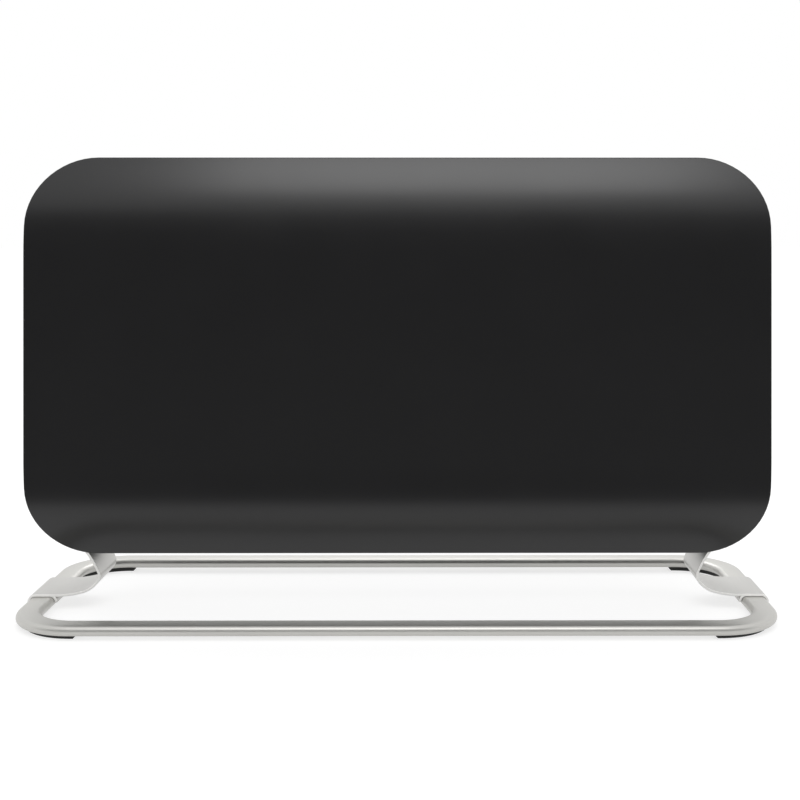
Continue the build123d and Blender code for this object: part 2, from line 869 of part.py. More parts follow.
# Tip-over switch on the right bracket
tilt_place = side_place(1, 0, tilt_y, tilt_z)
tilt_far = bracket_face + tilt_sheet + tilt_span
with BuildPart() as tilt_frame:
    for near in (bracket_face, tilt_far - tilt_sheet):
        block((near, near + tilt_sheet), centred(tilt_width, tilt_y), (tilt_z - tilt_ear, tilt_z + tilt_ear))
    block(
        (bracket_face, tilt_far),
        centred(tilt_width, tilt_y),
        (tilt_z + tilt_ear - tilt_sheet, tilt_z + tilt_ear),
    )
    bar(tilt_place, tilt_pin_radius + tilt_gap, bracket_face, tilt_far, Mode.SUBTRACT)
keep(tilt_frame.part, "tilt_frame")

with BuildPart() as tilt_pin:
    bar(tilt_place, tilt_pin_radius, bracket_face, tilt_far)
    bar(tilt_place, tilt_pin_head, tilt_far, tilt_far + tilt_sheet)
keep(tilt_pin.part, "tilt_pin")

with BuildPart() as tilt_pendulum:
    hub_low = bracket_face + tilt_sheet + tilt_hub_gap
    hub_high = tilt_far - tilt_sheet - tilt_hub_gap
    bar(tilt_place, tilt_hub_radius, hub_low, hub_high)
    block((hub_low, hub_high), centred(tilt_arm_width, tilt_y), (tilt_z - tilt_arm, tilt_z))
    bar(side_place(1, 0, tilt_y, tilt_z - tilt_arm), tilt_weight_radius, hub_low, hub_high)
    bar(tilt_place, tilt_pin_radius + tilt_gap, hub_low, hub_high, Mode.SUBTRACT)
keep(tilt_pendulum.part, "tilt_pendulum")

# Fasteners, each kind as one group
leg_places = leg_screw_places(-1) + leg_screw_places(1)
leg_clamp = leg_plate + pad_rise + bracket_sheet
keep(screws(leg_places, leg_screw_radius, leg_clamp + nut_height + thread_proud), "leg_screws")
keep(nuts(leg_places, leg_screw_radius, leg_clamp), "leg_nuts")

base_places = base_screw_places(-1) + base_screw_places(1)
keep(screws(base_places, base_screw_radius, base_screw_length), "base_screws")

cap_places = cap_screw_places(-1) + cap_screw_places(1)
cap_screw_length = casing_half - cap_screw_sink - bracket_x + thread_proud
keep(screws(cap_places, cap_screw_radius, cap_screw_length), "cap_screws")

panel_clamp = skin + bracket_sheet
keep(screws(panel_screw_places(1), panel_screw_radius, panel_clamp + thread_proud), "rear_panel_screws")

with BuildPart() as front_panel_studs:
    for place in panel_screw_places(-1):
        bar(place, panel_screw_radius, -panel_clamp - nut_height - thread_proud, -sheet)
keep(front_panel_studs.part, "front_panel_studs")
keep(nuts(panel_screw_places(-1), panel_screw_radius, panel_clamp), "front_panel_nuts")

keep(screws(switch_screw_places(fascia_x), switch_screw_radius, switch_screw_length), "switch_screws")
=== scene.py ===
import math

import bmesh
import bpy
import numpy as np
from mathutils import Matrix, Vector


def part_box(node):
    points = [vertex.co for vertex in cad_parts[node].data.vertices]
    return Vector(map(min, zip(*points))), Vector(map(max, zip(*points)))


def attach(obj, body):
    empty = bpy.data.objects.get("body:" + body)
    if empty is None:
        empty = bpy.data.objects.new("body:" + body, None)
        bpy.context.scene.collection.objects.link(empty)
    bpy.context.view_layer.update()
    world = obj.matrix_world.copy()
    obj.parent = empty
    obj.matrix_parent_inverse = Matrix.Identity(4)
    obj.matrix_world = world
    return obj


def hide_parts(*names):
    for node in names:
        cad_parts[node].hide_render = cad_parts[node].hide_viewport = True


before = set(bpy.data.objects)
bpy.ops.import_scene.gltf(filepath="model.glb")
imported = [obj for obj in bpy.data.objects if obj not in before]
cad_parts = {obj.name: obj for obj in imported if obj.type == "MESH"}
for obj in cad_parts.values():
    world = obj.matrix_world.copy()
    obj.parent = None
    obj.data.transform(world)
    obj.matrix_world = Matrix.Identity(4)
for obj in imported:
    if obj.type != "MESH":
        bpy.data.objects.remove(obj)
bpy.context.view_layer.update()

# Studio: a white floor to the horizon in a white room, with a soft lamp above and in front of the heater
# and one behind it. A grey card stands behind the camera and one lies on the floor in front. Only mirror
# images show them, so the flat middle of the satin panels stays dark, as it does in a real room.
room_colour = "ffffff"
room_light = 0.82
floor_colour = "a8a8a8"
floor_glow = 0.7
floor_half = 30.0
card_colour = "7a7a7a"
card_half = 4.5
card_y = -2.6
card_near_y = -0.22
card_z = 0.002
card_top = 1.5


def linear(code):
    """An sRGB hex colour as linear red, green and blue with a full alpha."""
    value = np.array([int(code[place:place + 2], 16) for place in (0, 2, 4)]) / 255
    return (*np.where(value <= 0.04045, value / 12.92, ((value + 0.055) / 1.055) ** 2.4), 1.0)


def feed(node, inputs):
    """Sets a node's inputs, by name or number, to a value, a socket or a node's first live output."""
    for name, value in inputs.items():
        if isinstance(name, int):
            socket = node.inputs[name]
        else:
            socket = next(entry for entry in node.inputs if entry.enabled and entry.name == name)
        if isinstance(value, bpy.types.Node):
            value = next(output for output in value.outputs if output.enabled)
        if isinstance(value, bpy.types.NodeSocket):
            node.id_data.links.new(value, socket)
        else:
            socket.default_value = value


def add_node(tree, kind, inputs=None, **settings):
    """Adds a node with its settings and its inputs."""
    node = tree.nodes.new(kind)
    for name, value in settings.items():
        setattr(node, name, value)
    feed(node, inputs or {})
    return node


def new_material(name):
    """A material, its node tree and its shader."""
    material = bpy.data.materials.new(name)
    material.use_nodes = True
    return material, material.node_tree, material.node_tree.nodes["Principled BSDF"]


def flat_plane(name, corners, material):
    """A stage plane from its four corners."""
    mesh = bpy.data.meshes.new(name)
    mesh.from_pydata(corners, [], [(0, 1, 2, 3)])
    mesh.materials.append(material)
    plane = bpy.data.objects.new(name, mesh)
    bpy.context.scene.collection.objects.link(plane)
    return plane


floor_paper, tree, shader = new_material("white_floor_paper")
tree.nodes.remove(shader)
seen = add_node(tree, "ShaderNodeLightPath").outputs
direct = add_node(
    tree, "ShaderNodeMath", {0: seen["Is Camera Ray"], 1: seen["Is Glossy Ray"]}, operation="MAXIMUM"
)
lift = add_node(tree, "ShaderNodeMath", {0: direct, 1: floor_glow}, operation="MULTIPLY")
paper = add_node(tree, "ShaderNodeBsdfDiffuse", {"Color": linear(floor_colour)})
glow = add_node(tree, "ShaderNodeEmission", {"Color": linear(room_colour), "Strength": lift})
feed(tree.nodes["Material Output"], {"Surface": add_node(tree, "ShaderNodeAddShader", {0: paper, 1: glow})})
floor_corners = [(x * floor_half, y * floor_half, 0) for x, y in ((-1, -1), (1, -1), (1, 1), (-1, 1))]
flat_plane("floor", floor_corners, floor_paper)

for name, start, finish in (
    ("card_behind_camera", (card_y, 0.0), (card_y, card_top)),
    ("card_on_floor", (card_y, card_z), (card_near_y, card_z)),
):
    card_paint, tree, shader = new_material(name)
    feed(shader, {"Base Color": linear(card_colour), "Roughness": 1.0, "Specular IOR Level": 0.0})
    corners = [(-card_half, *start), (card_half, *start), (card_half, *finish), (-card_half, *finish)]
    card = flat_plane(name, corners, card_paint)
    card.visible_camera = False
    card.visible_diffuse = False
    card.visible_shadow = False

world = bpy.data.worlds.new("white_room")
bpy.context.scene.world = world
world.use_nodes = True
tree = world.node_tree
seen = add_node(tree, "ShaderNodeLightPath").outputs
direct = add_node(
    tree, "ShaderNodeMath", {0: seen["Is Camera Ray"], 1: seen["Is Glossy Ray"]}, operation="MAXIMUM"
)
shown = add_node(tree, "ShaderNodeMath", {0: direct, 1: seen["Is Transmission Ray"]}, operation="MAXIMUM")
strength = add_node(tree, "ShaderNodeMapRange", {"Value": shown, "To Min": room_light, "To Max": 1.0})
feed(tree.nodes["Background"], {"Color": linear(room_colour), "Strength": strength})


def aim(place, target):
    """Turn that points an object's -Z from its place to a target."""
    return (Vector(target) - Vector(place)).to_track_quat("-Z", "Y").to_euler()


def soft_lamp(name, place, target, size, power):
    """A rectangular lamp that faces a target."""
    lamp = bpy.data.lights.new(name, "AREA")
    lamp.shape = "RECTANGLE"
    lamp.size, lamp.size_y = size
    lamp.energy = power
    holder = bpy.data.objects.new(name, lamp)
    holder.location = place
    holder.rotation_euler = aim(place, target)
    holder.visible_camera = False
    bpy.context.scene.collection.objects.link(holder)


soft_lamp(
    "lamp_above", place=(0.10, -1.45, 1.85), target=(0.10, -0.06, 0.42), size=(1.3, 0.9), power=12.0
)
soft_lamp("lamp_behind", place=(0.0, 1.05, 1.10), target=(0.0, 0.12, 0.0), size=(1.1, 0.8), power=6.0)

# Camera: level, at the photograph's viewing angle, with its place and lens fitted to the base loop and the
# front panel there. Its pixel values are in the photograph's frame of 800 by 800.
camera_turn = math.radians(0.18)
camera_side, camera_back, camera_height = 0.04373, 1.3837, 0.3858
focal_px, centre_px, horizon_px, frame_px = 1321.3, 441.2, 231.8, 800
camera = bpy.data.cameras.new("camera")
camera.sensor_width = 36.0
camera.lens = focal_px / frame_px * camera.sensor_width
camera.shift_x = (frame_px / 2 - centre_px) / frame_px
camera.shift_y = (horizon_px - frame_px / 2) / frame_px
camera_object = bpy.data.objects.new("camera", camera)
camera_object.location = (
    camera_side * math.cos(camera_turn) - camera_back * math.sin(camera_turn),
    -camera_side * math.sin(camera_turn) - camera_back * math.cos(camera_turn),
    camera_height,
)
camera_object.rotation_euler = (math.radians(90), 0, -camera_turn)
bpy.context.scene.collection.objects.link(camera_object)
bpy.context.scene.camera = camera_object
bpy.context.scene.view_settings.view_transform = "Standard"


# Base loop: flat-oval aluminium tube, 25 by 10 mm, bent in two U-shaped halves that meet under the legs.
# The tube is drawn, brushed along its length and satin anodised, so it mirrors the room softly.
tube_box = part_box("base_tube_front")
tube_width = 0.025
tube_height = 0.010
tube_wall = 0.0015
tube_bend = 0.054
half_gap = -tube_box[1].y
tube_x = tube_box[1].x - tube_width / 2
tube_y = -tube_box[0].y - tube_width / 2
tube_z = (tube_box[0].z + tube_box[1].z) / 2
weld = 1e-6


def grid(surface, keep=None):
    """A surface, rows by columns by (x, y, z) or (x, y, z, u, v), as a list of its points and the quads
    between neighbours, or those of them that keep picks."""
    rows, columns = surface.shape[:2]
    index = np.arange(rows * columns).reshape(rows, columns)
    quads = np.stack([index[:-1, :-1], index[1:, :-1], index[1:, 1:], index[:-1, 1:]], -1)
    return surface.reshape(rows * columns, -1), quads.reshape(-1, 4) if keep is None else quads[keep]


def put_piece(name, grids, material, nodes=(), body="heater", sharp=35.0):
    """A piece of grids, welded where they meet, closed where still open and with its faces turned outwards.
    It rides on a body, stands for CAD nodes and takes a material."""
    points = np.concatenate([surface for surface, quads in grids])
    starts = np.cumsum([0] + [len(surface) for surface, quads in grids[:-1]])
    quads = np.concatenate([quads + start for start, (surface, quads) in zip(starts, grids)])
    mesh = bpy.data.meshes.new(name)
    mesh.from_pydata(points[:, :3], [], quads)
    mesh.materials.append(material)
    if points.shape[1] == 5:
        mesh.uv_layers.new(name="surface").data.foreach_set("uv", points[quads.ravel(), 3:].ravel())
    solid = bmesh.new()
    solid.from_mesh(mesh)
    bmesh.ops.remove_doubles(solid, verts=solid.verts, dist=weld)
    bmesh.ops.holes_fill(solid, edges=[edge for edge in solid.edges if edge.is_boundary], sides=0)
    bmesh.ops.recalc_face_normals(solid, faces=solid.faces)
    solid.to_mesh(mesh)
    solid.free()
    mesh.shade_smooth()
    mesh.set_sharp_from_angle(angle=math.radians(sharp))
    piece = bpy.data.objects.new(name, mesh)
    bpy.context.scene.collection.objects.link(piece)
    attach(piece, body)
    if nodes:
        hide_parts(*nodes)
    return piece


def arc(centre, radius, start, end, steps):
    """Points of an arc, from a start to an end angle in degrees."""
    angle = np.radians(np.linspace(start, end, steps + 1))
    return np.stack([centre[0] + radius * np.cos(angle), centre[1] + radius * np.sin(angle)], -1)


def flat_oval(width, height, steps=14):
    """Closed section of a flat-oval tube: two half circles joined by straight sides."""
    core = (width - height) / 2
    right = arc((core, 0), height / 2, -90, 90, steps)
    left = arc((-core, 0), height / 2, 90, 270, steps)
    return np.concatenate([right, left, right[:1]])


def bend_path(run_y, run_x, steps=20):
    """Plan of the front right bend: a run along Y, a quarter circle of the tube's bend and a run along X."""
    turn = arc((tube_x - tube_bend, -tube_y + tube_bend), tube_bend, 0, -90, steps)
    return np.concatenate([run_y, turn, run_x])


def travel(points):
    """Distance travelled along a line, at each of its points."""
    return np.cumsum(np.linalg.norm(np.diff(points, axis=0, prepend=points[:1]), axis=1))


def sweep(plan, section, height):
    """Carries a section along a plan at a height: each point is the plan's point, plus the section's width
    along the plan's normal, plus its height along Z. U runs along the plan and V round the section."""
    along = np.gradient(plan, axis=0)
    along /= np.linalg.norm(along, axis=1, keepdims=True)
    outwards = np.stack([-along[:, 1], along[:, 0]], -1)
    level = plan[:, None, :] + outwards[:, None, :] * section[None, :, :1]
    shape = (*level.shape[:2], 1)
    lift = np.broadcast_to(height + section[None, :, 1:], shape)
    u = np.broadcast_to(travel(plan)[:, None, None], shape)
    v = np.broadcast_to(travel(section)[None, :, None], shape)
    return np.concatenate([level, lift, u, v], -1)


# Anodised aluminium brushed along the tube: pale grey, a shade warm, with its mirror image drawn out across
# the brushing. The streaks are 0.4 mm wide, because real ones of 0.05 mm are too fine to show.
brushed_tube, tree, shader = new_material("satin_anodised_aluminium_tube")
along_tube = add_node(tree, "ShaderNodeUVMap", uv_map="surface")
streak_place = add_node(
    tree, "ShaderNodeVectorMath", {0: along_tube, 1: (30.0, 2500.0, 1.0)}, operation="MULTIPLY"
)
streaks = add_node(tree, "ShaderNodeTexNoise", {"Vector": streak_place, "Scale": 1.0, "Detail": 3.0})
feed(shader, {
    "Base Color": add_node(
        tree,
        "ShaderNodeMix",
        {"Factor": streaks, "A": linear("c0bfbb"), "B": linear("d0cfcb")},
        data_type="RGBA",
    ),
    "Metallic": 0.8,
    "Roughness": add_node(tree, "ShaderNodeMapRange", {"Value": streaks, "To Min": 0.36, "To Max": 0.48}),
    "Normal": add_node(tree, "ShaderNodeBump", {"Height": streaks, "Strength": 0.5, "Distance": 4e-6}),
})

tube_section = flat_oval(tube_width, tube_height)
tube_bore = flat_oval(tube_width - 2 * tube_wall, tube_height - 2 * tube_wall)
side_run = np.linspace(half_gap, tube_y - tube_bend, 4)[:-1]
front_run = np.linspace(tube_x - tube_bend, 0, 9)[1:]
right_half = bend_path(
    np.stack([np.full_like(side_run, tube_x), -side_run], -1),
    np.stack([front_run, np.full_like(front_run, -tube_y)], -1),
)
whole_front = np.concatenate([right_half, right_half[-2::-1] * (-1, 1)])
for name, facing in (("front", 1), ("rear", -1)):
    plan = whole_front * (1, facing)
    outer, bore = sweep(plan, tube_section, tube_z), sweep(plan, tube_bore, tube_z)
    ends = [grid(np.stack([outer[end], bore[end]])) for end in (0, -1)]
    put_piece(
        f"base_loop_{name}",
        [grid(outer), grid(bore), *ends],
        brushed_tube,
        [f"base_tube_{name}"],
    )

# Feet: four moulded rubber strips, 11 mm wide and 4 mm thick, pegged up into the tube under the inner side
# of its bends. Their ends slope up from the sole, and the rubber is dull and nearly black, with a dry bloom.
foot_width = 0.011
foot_inwards = 0.002
foot_thickness = tube_z - tube_height / 2
foot_run = tube_y - tube_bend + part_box("foot_front_right")[1].y
foot_slope = 0.0025
foot_edge = 0.0005


def rounded_bar(width, height, radius, steps=3):
    """Closed rounded-rectangle section that stands on zero height."""
    corners = []
    for sideways, upwards, start in ((1, 1, 0), (-1, 1, 90), (-1, -1, 180), (1, -1, 270)):
        centre = (sideways * (width / 2 - radius), height / 2 + upwards * (height / 2 - radius))
        corners.append(arc(centre, radius, start, start + 90, steps))
    section = np.concatenate(corners)
    return np.concatenate([section, section[:1]])


# Rubber: almost no gloss, a fine pitted skin of about 0.3 mm, and paler dust in patches of about 8 mm.
foot_rubber, tree, shader = new_material("moulded_rubber")
on_piece = add_node(tree, "ShaderNodeTexCoord").outputs["Object"]
bloom = add_node(tree, "ShaderNodeTexNoise", {"Vector": on_piece, "Scale": 125.0, "Detail": 3.0})
pits = add_node(tree, "ShaderNodeTexNoise", {"Vector": on_piece, "Scale": 3300.0, "Detail": 1.0})
feed(shader, {
    "Base Color": add_node(
        tree,
        "ShaderNodeMix",
        {"Factor": bloom, "A": linear("131313"), "B": linear("1f1e1d")},
        data_type="RGBA",
    ),
    "Roughness": add_node(tree, "ShaderNodeMapRange", {"Value": bloom, "To Min": 0.55, "To Max": 0.75}),
    "IOR": 1.52,
    "Normal": add_node(tree, "ShaderNodeBump", {"Height": pits, "Strength": 0.6, "Distance": 3e-5}),
})

side_end = tube_y - tube_bend - foot_run
slope_steps = foot_slope * np.array([0, 0.5, 1, 1.5])
foot_plan = bend_path(
    np.stack([np.full_like(slope_steps, tube_x), -side_end - slope_steps], -1),
    np.stack([tube_x - tube_bend - foot_run + slope_steps[::-1], np.full_like(slope_steps, -tube_y)], -1),
)
strip = sweep(foot_plan, rounded_bar(foot_width, foot_thickness, foot_edge) - (foot_inwards, 0), 0.0)
gone = strip[..., 3]
sole = np.clip(foot_slope - np.minimum(gone, gone.max() - gone), 0, None)
strip[..., 2] = sole + strip[..., 2] * (1 - sole / foot_thickness)
for row, facing in (("front", 1), ("rear", -1)):
    for name, side in (("left", -1), ("right", 1)):
        put_piece(
            f"foot_strip_{row}_{name}",
            [grid(strip * (side, facing, 1, 1, 1))],
            foot_rubber,
            [f"foot_{row}_{name}"],
        )

# Legs: one aluminium extrusion, cut 68 mm deep. It saddles the tube's flat oval, swings in under the body
# in a long curve, turns up round a tight one and climbs steeply to the flange that the body is screwed to.
# Satin silver, with cut faces painted near white as a painted highlight of the lamps.
leg_near, leg_far = -0.038, 0.030
leg_plate = 0.0025
leg_edge = 0.0006
saddle_gap = 0.0002
saddle_lip_drop = 0.0005
same_point = 1e-7
cut_face_normal = 0.3
strip_run = 0.0067
strip_turns = ((0.103, 14.7), (0.028, 41.6), (0.0086, 56.7), (0.103, 12.7))
flange_bend = 0.005
flange_setback = 0.0184
saddle_near = tube_x - (tube_width - tube_height) / 2
saddle_far = tube_x + (tube_width - tube_height) / 2
saddle_in = tube_height / 2 + saddle_gap
saddle_out = saddle_in + leg_plate
flange_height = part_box("leg_right")[1].z - leg_plate / 2
flange_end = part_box("end_cap_right")[1].x - flange_setback
strip_z = tube_z + saddle_out - leg_plate / 2


def turned(place, heading, radius, turn, steps=14):
    """Points and headings of a clockwise arc from a place and a heading, by a turn in degrees."""
    centre = place + radius * np.array([math.sin(heading), -math.cos(heading)])
    swung = heading - np.radians(np.linspace(0, turn, steps + 1))
    return centre + radius * np.stack([-np.sin(swung), np.cos(swung)], -1), swung


def strip_sides():
    """Upper and lower side of the strip in front view, from the saddle inwards: a level run, then arcs that
    turn its heading clockwise, a steep run, the flange's bend and the flange. Each side lies half a plate
    from the centre line, square to the heading."""
    place, heading = np.array([saddle_near - strip_run, strip_z]), math.pi
    parts = [(np.array([[saddle_near, strip_z]]), np.array([heading]))]
    for radius, turn in strip_turns:
        parts.append(turned(place, heading, radius, turn))
        place, heading = parts[-1][0][-1], parts[-1][1][-1]
    rise = flange_height - flange_bend * (1 - math.cos(heading)) - place[1]
    steep_end = place + (rise / math.tan(heading), rise)
    parts.append(turned(steep_end, heading, flange_bend, math.degrees(heading)))
    parts.append((np.array([[flange_end, flange_height]]), parts[-1][1][-1:]))
    line, heading = (np.concatenate(values) for values in zip(*parts))
    aside = leg_plate / 2 * np.stack([np.sin(heading), -np.cos(heading)], -1)
    return line + aside, line - aside


def leg_outline():
    """The extrusion's closed section in front view: the saddle's outside, the strip's upper side up to the
    flange, its lower side back to the fork with the saddle, and the saddle's inside."""
    fork = 180 - math.degrees(math.asin(saddle_in / saddle_out))
    lip_out = math.degrees(math.asin(saddle_lip_drop / saddle_out))
    lip_in = math.degrees(math.asin(saddle_lip_drop / saddle_in))
    upper, lower = strip_sides()
    outline = [
        arc((saddle_far, tube_z), saddle_out, -lip_out, 90, steps=12),
        upper,
        lower[:0:-1],
        arc((saddle_near, tube_z), saddle_out, fork, 180 + lip_out, steps=8),
        arc((saddle_near, tube_z), saddle_in, 180 + lip_in, 90, steps=12),
        arc((saddle_far, tube_z), saddle_in, 90, -lip_in, steps=12),
    ]
    outline = np.concatenate(outline)
    apart = np.linalg.norm(np.diff(outline, axis=0, prepend=outline[-1:]), axis=1) > same_point
    outline = outline[apart]
    return np.concatenate([outline, outline[:1]])


def drawn_in(outline, inset):
    """A closed outline moved into its own area: each point moves along the sum of its two edges' normals,
    over one plus their cosine, so that both edges move by the inset."""
    edges = np.diff(outline, axis=0)
    edges /= np.linalg.norm(edges, axis=1, keepdims=True)
    area = np.sum(outline[:-1, 0] * outline[1:, 1] - outline[1:, 0] * outline[:-1, 1])
    inwards = np.stack([-edges[:, 1], edges[:, 0]], -1) * math.copysign(1, area)
    before = np.roll(inwards, 1, axis=0)
    mitre = (before + inwards) / (1 + np.sum(before * inwards, axis=1, keepdims=True))
    moved = outline[:-1] + inset * mitre
    return np.concatenate([moved, moved[:1]])


def cut_length(outline, half, edge):
    """A closed outline in X and Z carried along Y, with its cut edges rounded: the rings turn a quarter
    circle from the side to the cut face, between a ring that holds the side flat and one that starts the
    face. U runs along Y and V along the outline."""
    side_hold, face_start = 3 * edge, 1.6 * edge
    turn = np.radians(np.linspace(0, 90, 5))
    reach = np.concatenate([[0, half - side_hold], half - edge + edge * np.sin(turn), [half]])
    inset = np.concatenate([[0, 0], edge * (1 - np.cos(turn)), [face_start]])
    reach, inset = np.concatenate([-reach[:0:-1], reach]), np.concatenate([inset[:0:-1], inset])
    rings = np.stack([drawn_in(outline, amount) for amount in inset])
    across = np.broadcast_to(reach[:, None], rings.shape[:2])
    around = np.broadcast_to(travel(outline), rings.shape[:2])
    return np.stack([rings[..., 0], across, rings[..., 1], across, around], -1)


# Extruded aluminium, satin anodised: drawn lines along the cut length, 0.5 mm apart so that they show at
# all, and a soft mirror image.
satin_leg, tree, shader = new_material("satin_anodised_aluminium_extrusion")
on_surface = add_node(tree, "ShaderNodeUVMap", uv_map="surface")
line_place = add_node(
    tree, "ShaderNodeVectorMath", {0: on_surface, 1: (25.0, 2000.0, 1.0)}, operation="MULTIPLY"
)
lines = add_node(tree, "ShaderNodeTexNoise", {"Vector": line_place, "Scale": 1.0, "Detail": 2.0})
feed(shader, {
    "Base Color": add_node(
        tree,
        "ShaderNodeMix",
        {"Factor": lines, "A": linear("bdbcb9"), "B": linear("cdccc9")},
        data_type="RGBA",
    ),
    "Metallic": 0.85,
    "Roughness": add_node(tree, "ShaderNodeMapRange", {"Value": lines, "To Min": 0.34, "To Max": 0.42}),
    "Normal": add_node(tree, "ShaderNodeBump", {"Height": lines, "Strength": 0.3, "Distance": 3e-6}),
})

# The cut faces are milled bare, with the cutter's marks across them, 0.8 mm apart. Their near-white matt
# colour is a painted highlight that stands in for the lamps' bright reflection in them.
painted_highlight_cut_face, tree, shader = new_material("cut_face_painted_highlight")
on_piece = add_node(tree, "ShaderNodeTexCoord").outputs["Object"]
mark_place = add_node(
    tree, "ShaderNodeVectorMath", {0: on_piece, 1: (1250.0, 100.0, 60.0)}, operation="MULTIPLY"
)
marks = add_node(tree, "ShaderNodeTexNoise", {"Vector": mark_place, "Scale": 1.0, "Detail": 1.0})
feed(shader, {
    "Base Color": add_node(
        tree,
        "ShaderNodeMix",
        {"Factor": marks, "A": linear("f4f3f0"), "B": linear("fdfcfa")},
        data_type="RGBA",
    ),
    "Metallic": 0.05,
    "Roughness": add_node(tree, "ShaderNodeMapRange", {"Value": marks, "To Min": 0.50, "To Max": 0.62}),
})
leg_middle = (leg_near + leg_far) / 2
right_leg = cut_length(leg_outline(), leg_far - leg_middle, leg_edge) + (0, leg_middle, 0, 0, 0)
for name, side in (("left", -1), ("right", 1)):
    piece = put_piece(
        f"leg_extrusion_{name}",
        [grid(right_leg * (side, 1, 1, 1, 1))],
        satin_leg,
        [f"leg_{name}"],
    )
    piece.data.materials.append(painted_highlight_cut_face)
    normals = np.empty(3 * len(piece.data.polygons))
    piece.data.polygons.foreach_get("normal", normals)
    # Faces that point along Y are the cut ends; they take the near-white material, a painted highlight.
    painted_highlight_faces = (np.abs(normals[1::3]) > cut_face_normal).astype(np.int32)
    piece.data.polygons.foreach_set("material_index", painted_highlight_faces)

# Curved panels: 1.5 mm sheet steel, flat in the middle and bent 22 mm back over the top and bottom 100 mm,
# with the edge turned in all round. Satin black powder coat inside and out. The rear one has two bands of
# pierced vents.
panel_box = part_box("front_panel")
panel_mid = (panel_box[0].z + panel_box[1].z) / 2
panel_half = (panel_box[1].z - panel_box[0].z) / 2
panel_wide = panel_box[1].x
panel_deep = -panel_box[0].y
corner_radius = 0.070
bend_height = 0.100
bend_draw = 0.022
bend_radius = (bend_height**2 + bend_draw**2) / (2 * bend_draw)
flat_half = panel_half - bend_height
corner_start = panel_half - corner_radius
sheet = 0.0015
rim_depth = 0.003
rim_rounding = 0.0006
steady_half = 0.264
vent_length, vent_width = 0.052, 0.005
vent_pitch_x, vent_pitch_z = 0.066, 0.014
vent_columns, vent_rows = 8, 3
vent_lift = 0.074
vent_edge = 0.0004
cell_columns, cell_rows = 16, 8


def on_panel(p, q, inset, sink):
    """A point of a panel, seen from the front: q is its height from the middle and p its place across.
    Columns within steady_half stay straight; those beyond are spread out to the outline, whose corners are
    circles. The face is flat and then turns on bend_radius. inset draws the outline in and sink lies behind
    the face."""
    shrink = (corner_radius - inset) / corner_radius
    beyond = np.sign(q) * np.clip(np.abs(q) - corner_start, 0, corner_radius)
    z = np.clip(q, -corner_start, corner_start) + beyond * shrink
    half = panel_wide - corner_radius + shrink * np.sqrt(np.clip(corner_radius**2 - beyond**2, 0, None))
    spread = (np.abs(p) - steady_half) / (panel_wide - steady_half) * (half - steady_half)
    x = np.where(np.abs(p) <= steady_half, p, np.sign(p) * (steady_half + spread))
    into_bend = np.clip(np.abs(z) - flat_half, 0, None)
    y = panel_deep - bend_radius + np.sqrt((bend_radius - sink) ** 2 - into_bend**2)
    return np.stack(np.broadcast_arrays(x, y, z), -1)


def border(values):
    """The values round the edge of a grid, from its first corner back to it."""
    return np.concatenate([values[0, :-1], values[:-1, -1], values[-1, :0:-1], values[::-1, 0]])


def panel_rim(p, q):
    """The turned-in edge as rings round the border: a quarter turn from the face's normal to the outline's,
    then straight back to the sheet's cut edge, and along its inside to the inner skin."""
    centre = on_panel(p, q, rim_rounding, rim_rounding)
    height = centre[:, 2]
    lean = np.sign(height) * np.clip(np.abs(height) - flat_half, 0, None) / (bend_radius - rim_rounding)
    face_normal = np.stack([np.zeros_like(lean), np.sqrt(1 - lean**2), lean], -1)
    up = np.sign(q) * np.clip(np.abs(q) - corner_start, 0, corner_radius) / corner_radius
    edge_normal = np.stack([np.sign(p) * np.sqrt(1 - up**2), np.zeros_like(up), up], -1)
    swing = np.arccos(np.sum(face_normal * edge_normal, axis=1, keepdims=True))
    rings = [on_panel(p, q, 2 * rim_rounding, 0)]
    for part in np.linspace(0, 1, 5):
        normal = np.sin((1 - part) * swing) * face_normal + np.sin(part * swing) * edge_normal
        rings.append(centre + rim_rounding * normal / np.sin(swing))
    for inset, sink in ((0, rim_depth), (sheet, rim_depth), (sheet, sheet)):
        rings.append(on_panel(p, q, inset, sink))
    return np.stack(rings)


def slot_ring(cell_x, cell_z, length, width):
    """Where each point of a cell's border meets a round-ended slot: the nearest point of the slot's core
    line, plus half the slot's width towards the border point."""
    core = np.clip(cell_x, -(length - width) / 2, (length - width) / 2)
    away = np.hypot(cell_x - core, cell_z)
    return core + (cell_x - core) / away * width / 2, cell_z / away * width / 2


def panel(facing, columns, rows, slots=()):
    """Both skins of a panel, its rim, and the rounded walls of its slots. facing is -1 for the front."""
    p, q = np.meshgrid(columns, rows)
    pierced = np.zeros((len(rows) - 1, len(columns) - 1), bool)
    mid_p, mid_q = (p[1:, 1:] + p[:-1, :-1]) / 2, (q[1:, 1:] + q[:-1, :-1]) / 2
    for slot_p, slot_q in slots:
        pierced |= (np.abs(mid_p - slot_p) < vent_pitch_x / 2) & (np.abs(mid_q - slot_q) < vent_pitch_z / 2)
    outer, inner = on_panel(p, q, 2 * rim_rounding, 0), on_panel(p, q, sheet, sheet)
    surfaces = [(outer, ~pierced), (inner, ~pierced), (panel_rim(border(p), border(q)), None)]
    side = np.arange(cell_columns + 1) / cell_columns - 0.5
    rise = np.arange(cell_rows + 1) / cell_rows - 0.5
    cell_x, cell_z = (border(values) for values in np.meshgrid(side * vent_pitch_x, rise * vent_pitch_z))
    for slot_p, slot_q in slots:
        rings = [on_panel(slot_p + cell_x, slot_q + cell_z, 2 * rim_rounding, 0)]
        for grow, sink in ((vent_edge, 0), (vent_edge / 3, vent_edge / 3), (0, vent_edge), (0, sheet)):
            x, z = slot_ring(cell_x, cell_z, vent_length + 2 * grow, vent_width + 2 * grow)
            rings.append(on_panel(slot_p + x, slot_q + z, 2 * rim_rounding, sink))
        rings.append(on_panel(slot_p + cell_x, slot_q + cell_z, sheet, sheet))
        surfaces.append((np.stack(rings), None))
    return [grid(surface * (1, facing, 1) + (0, 0, panel_mid), keep) for surface, keep in surfaces]


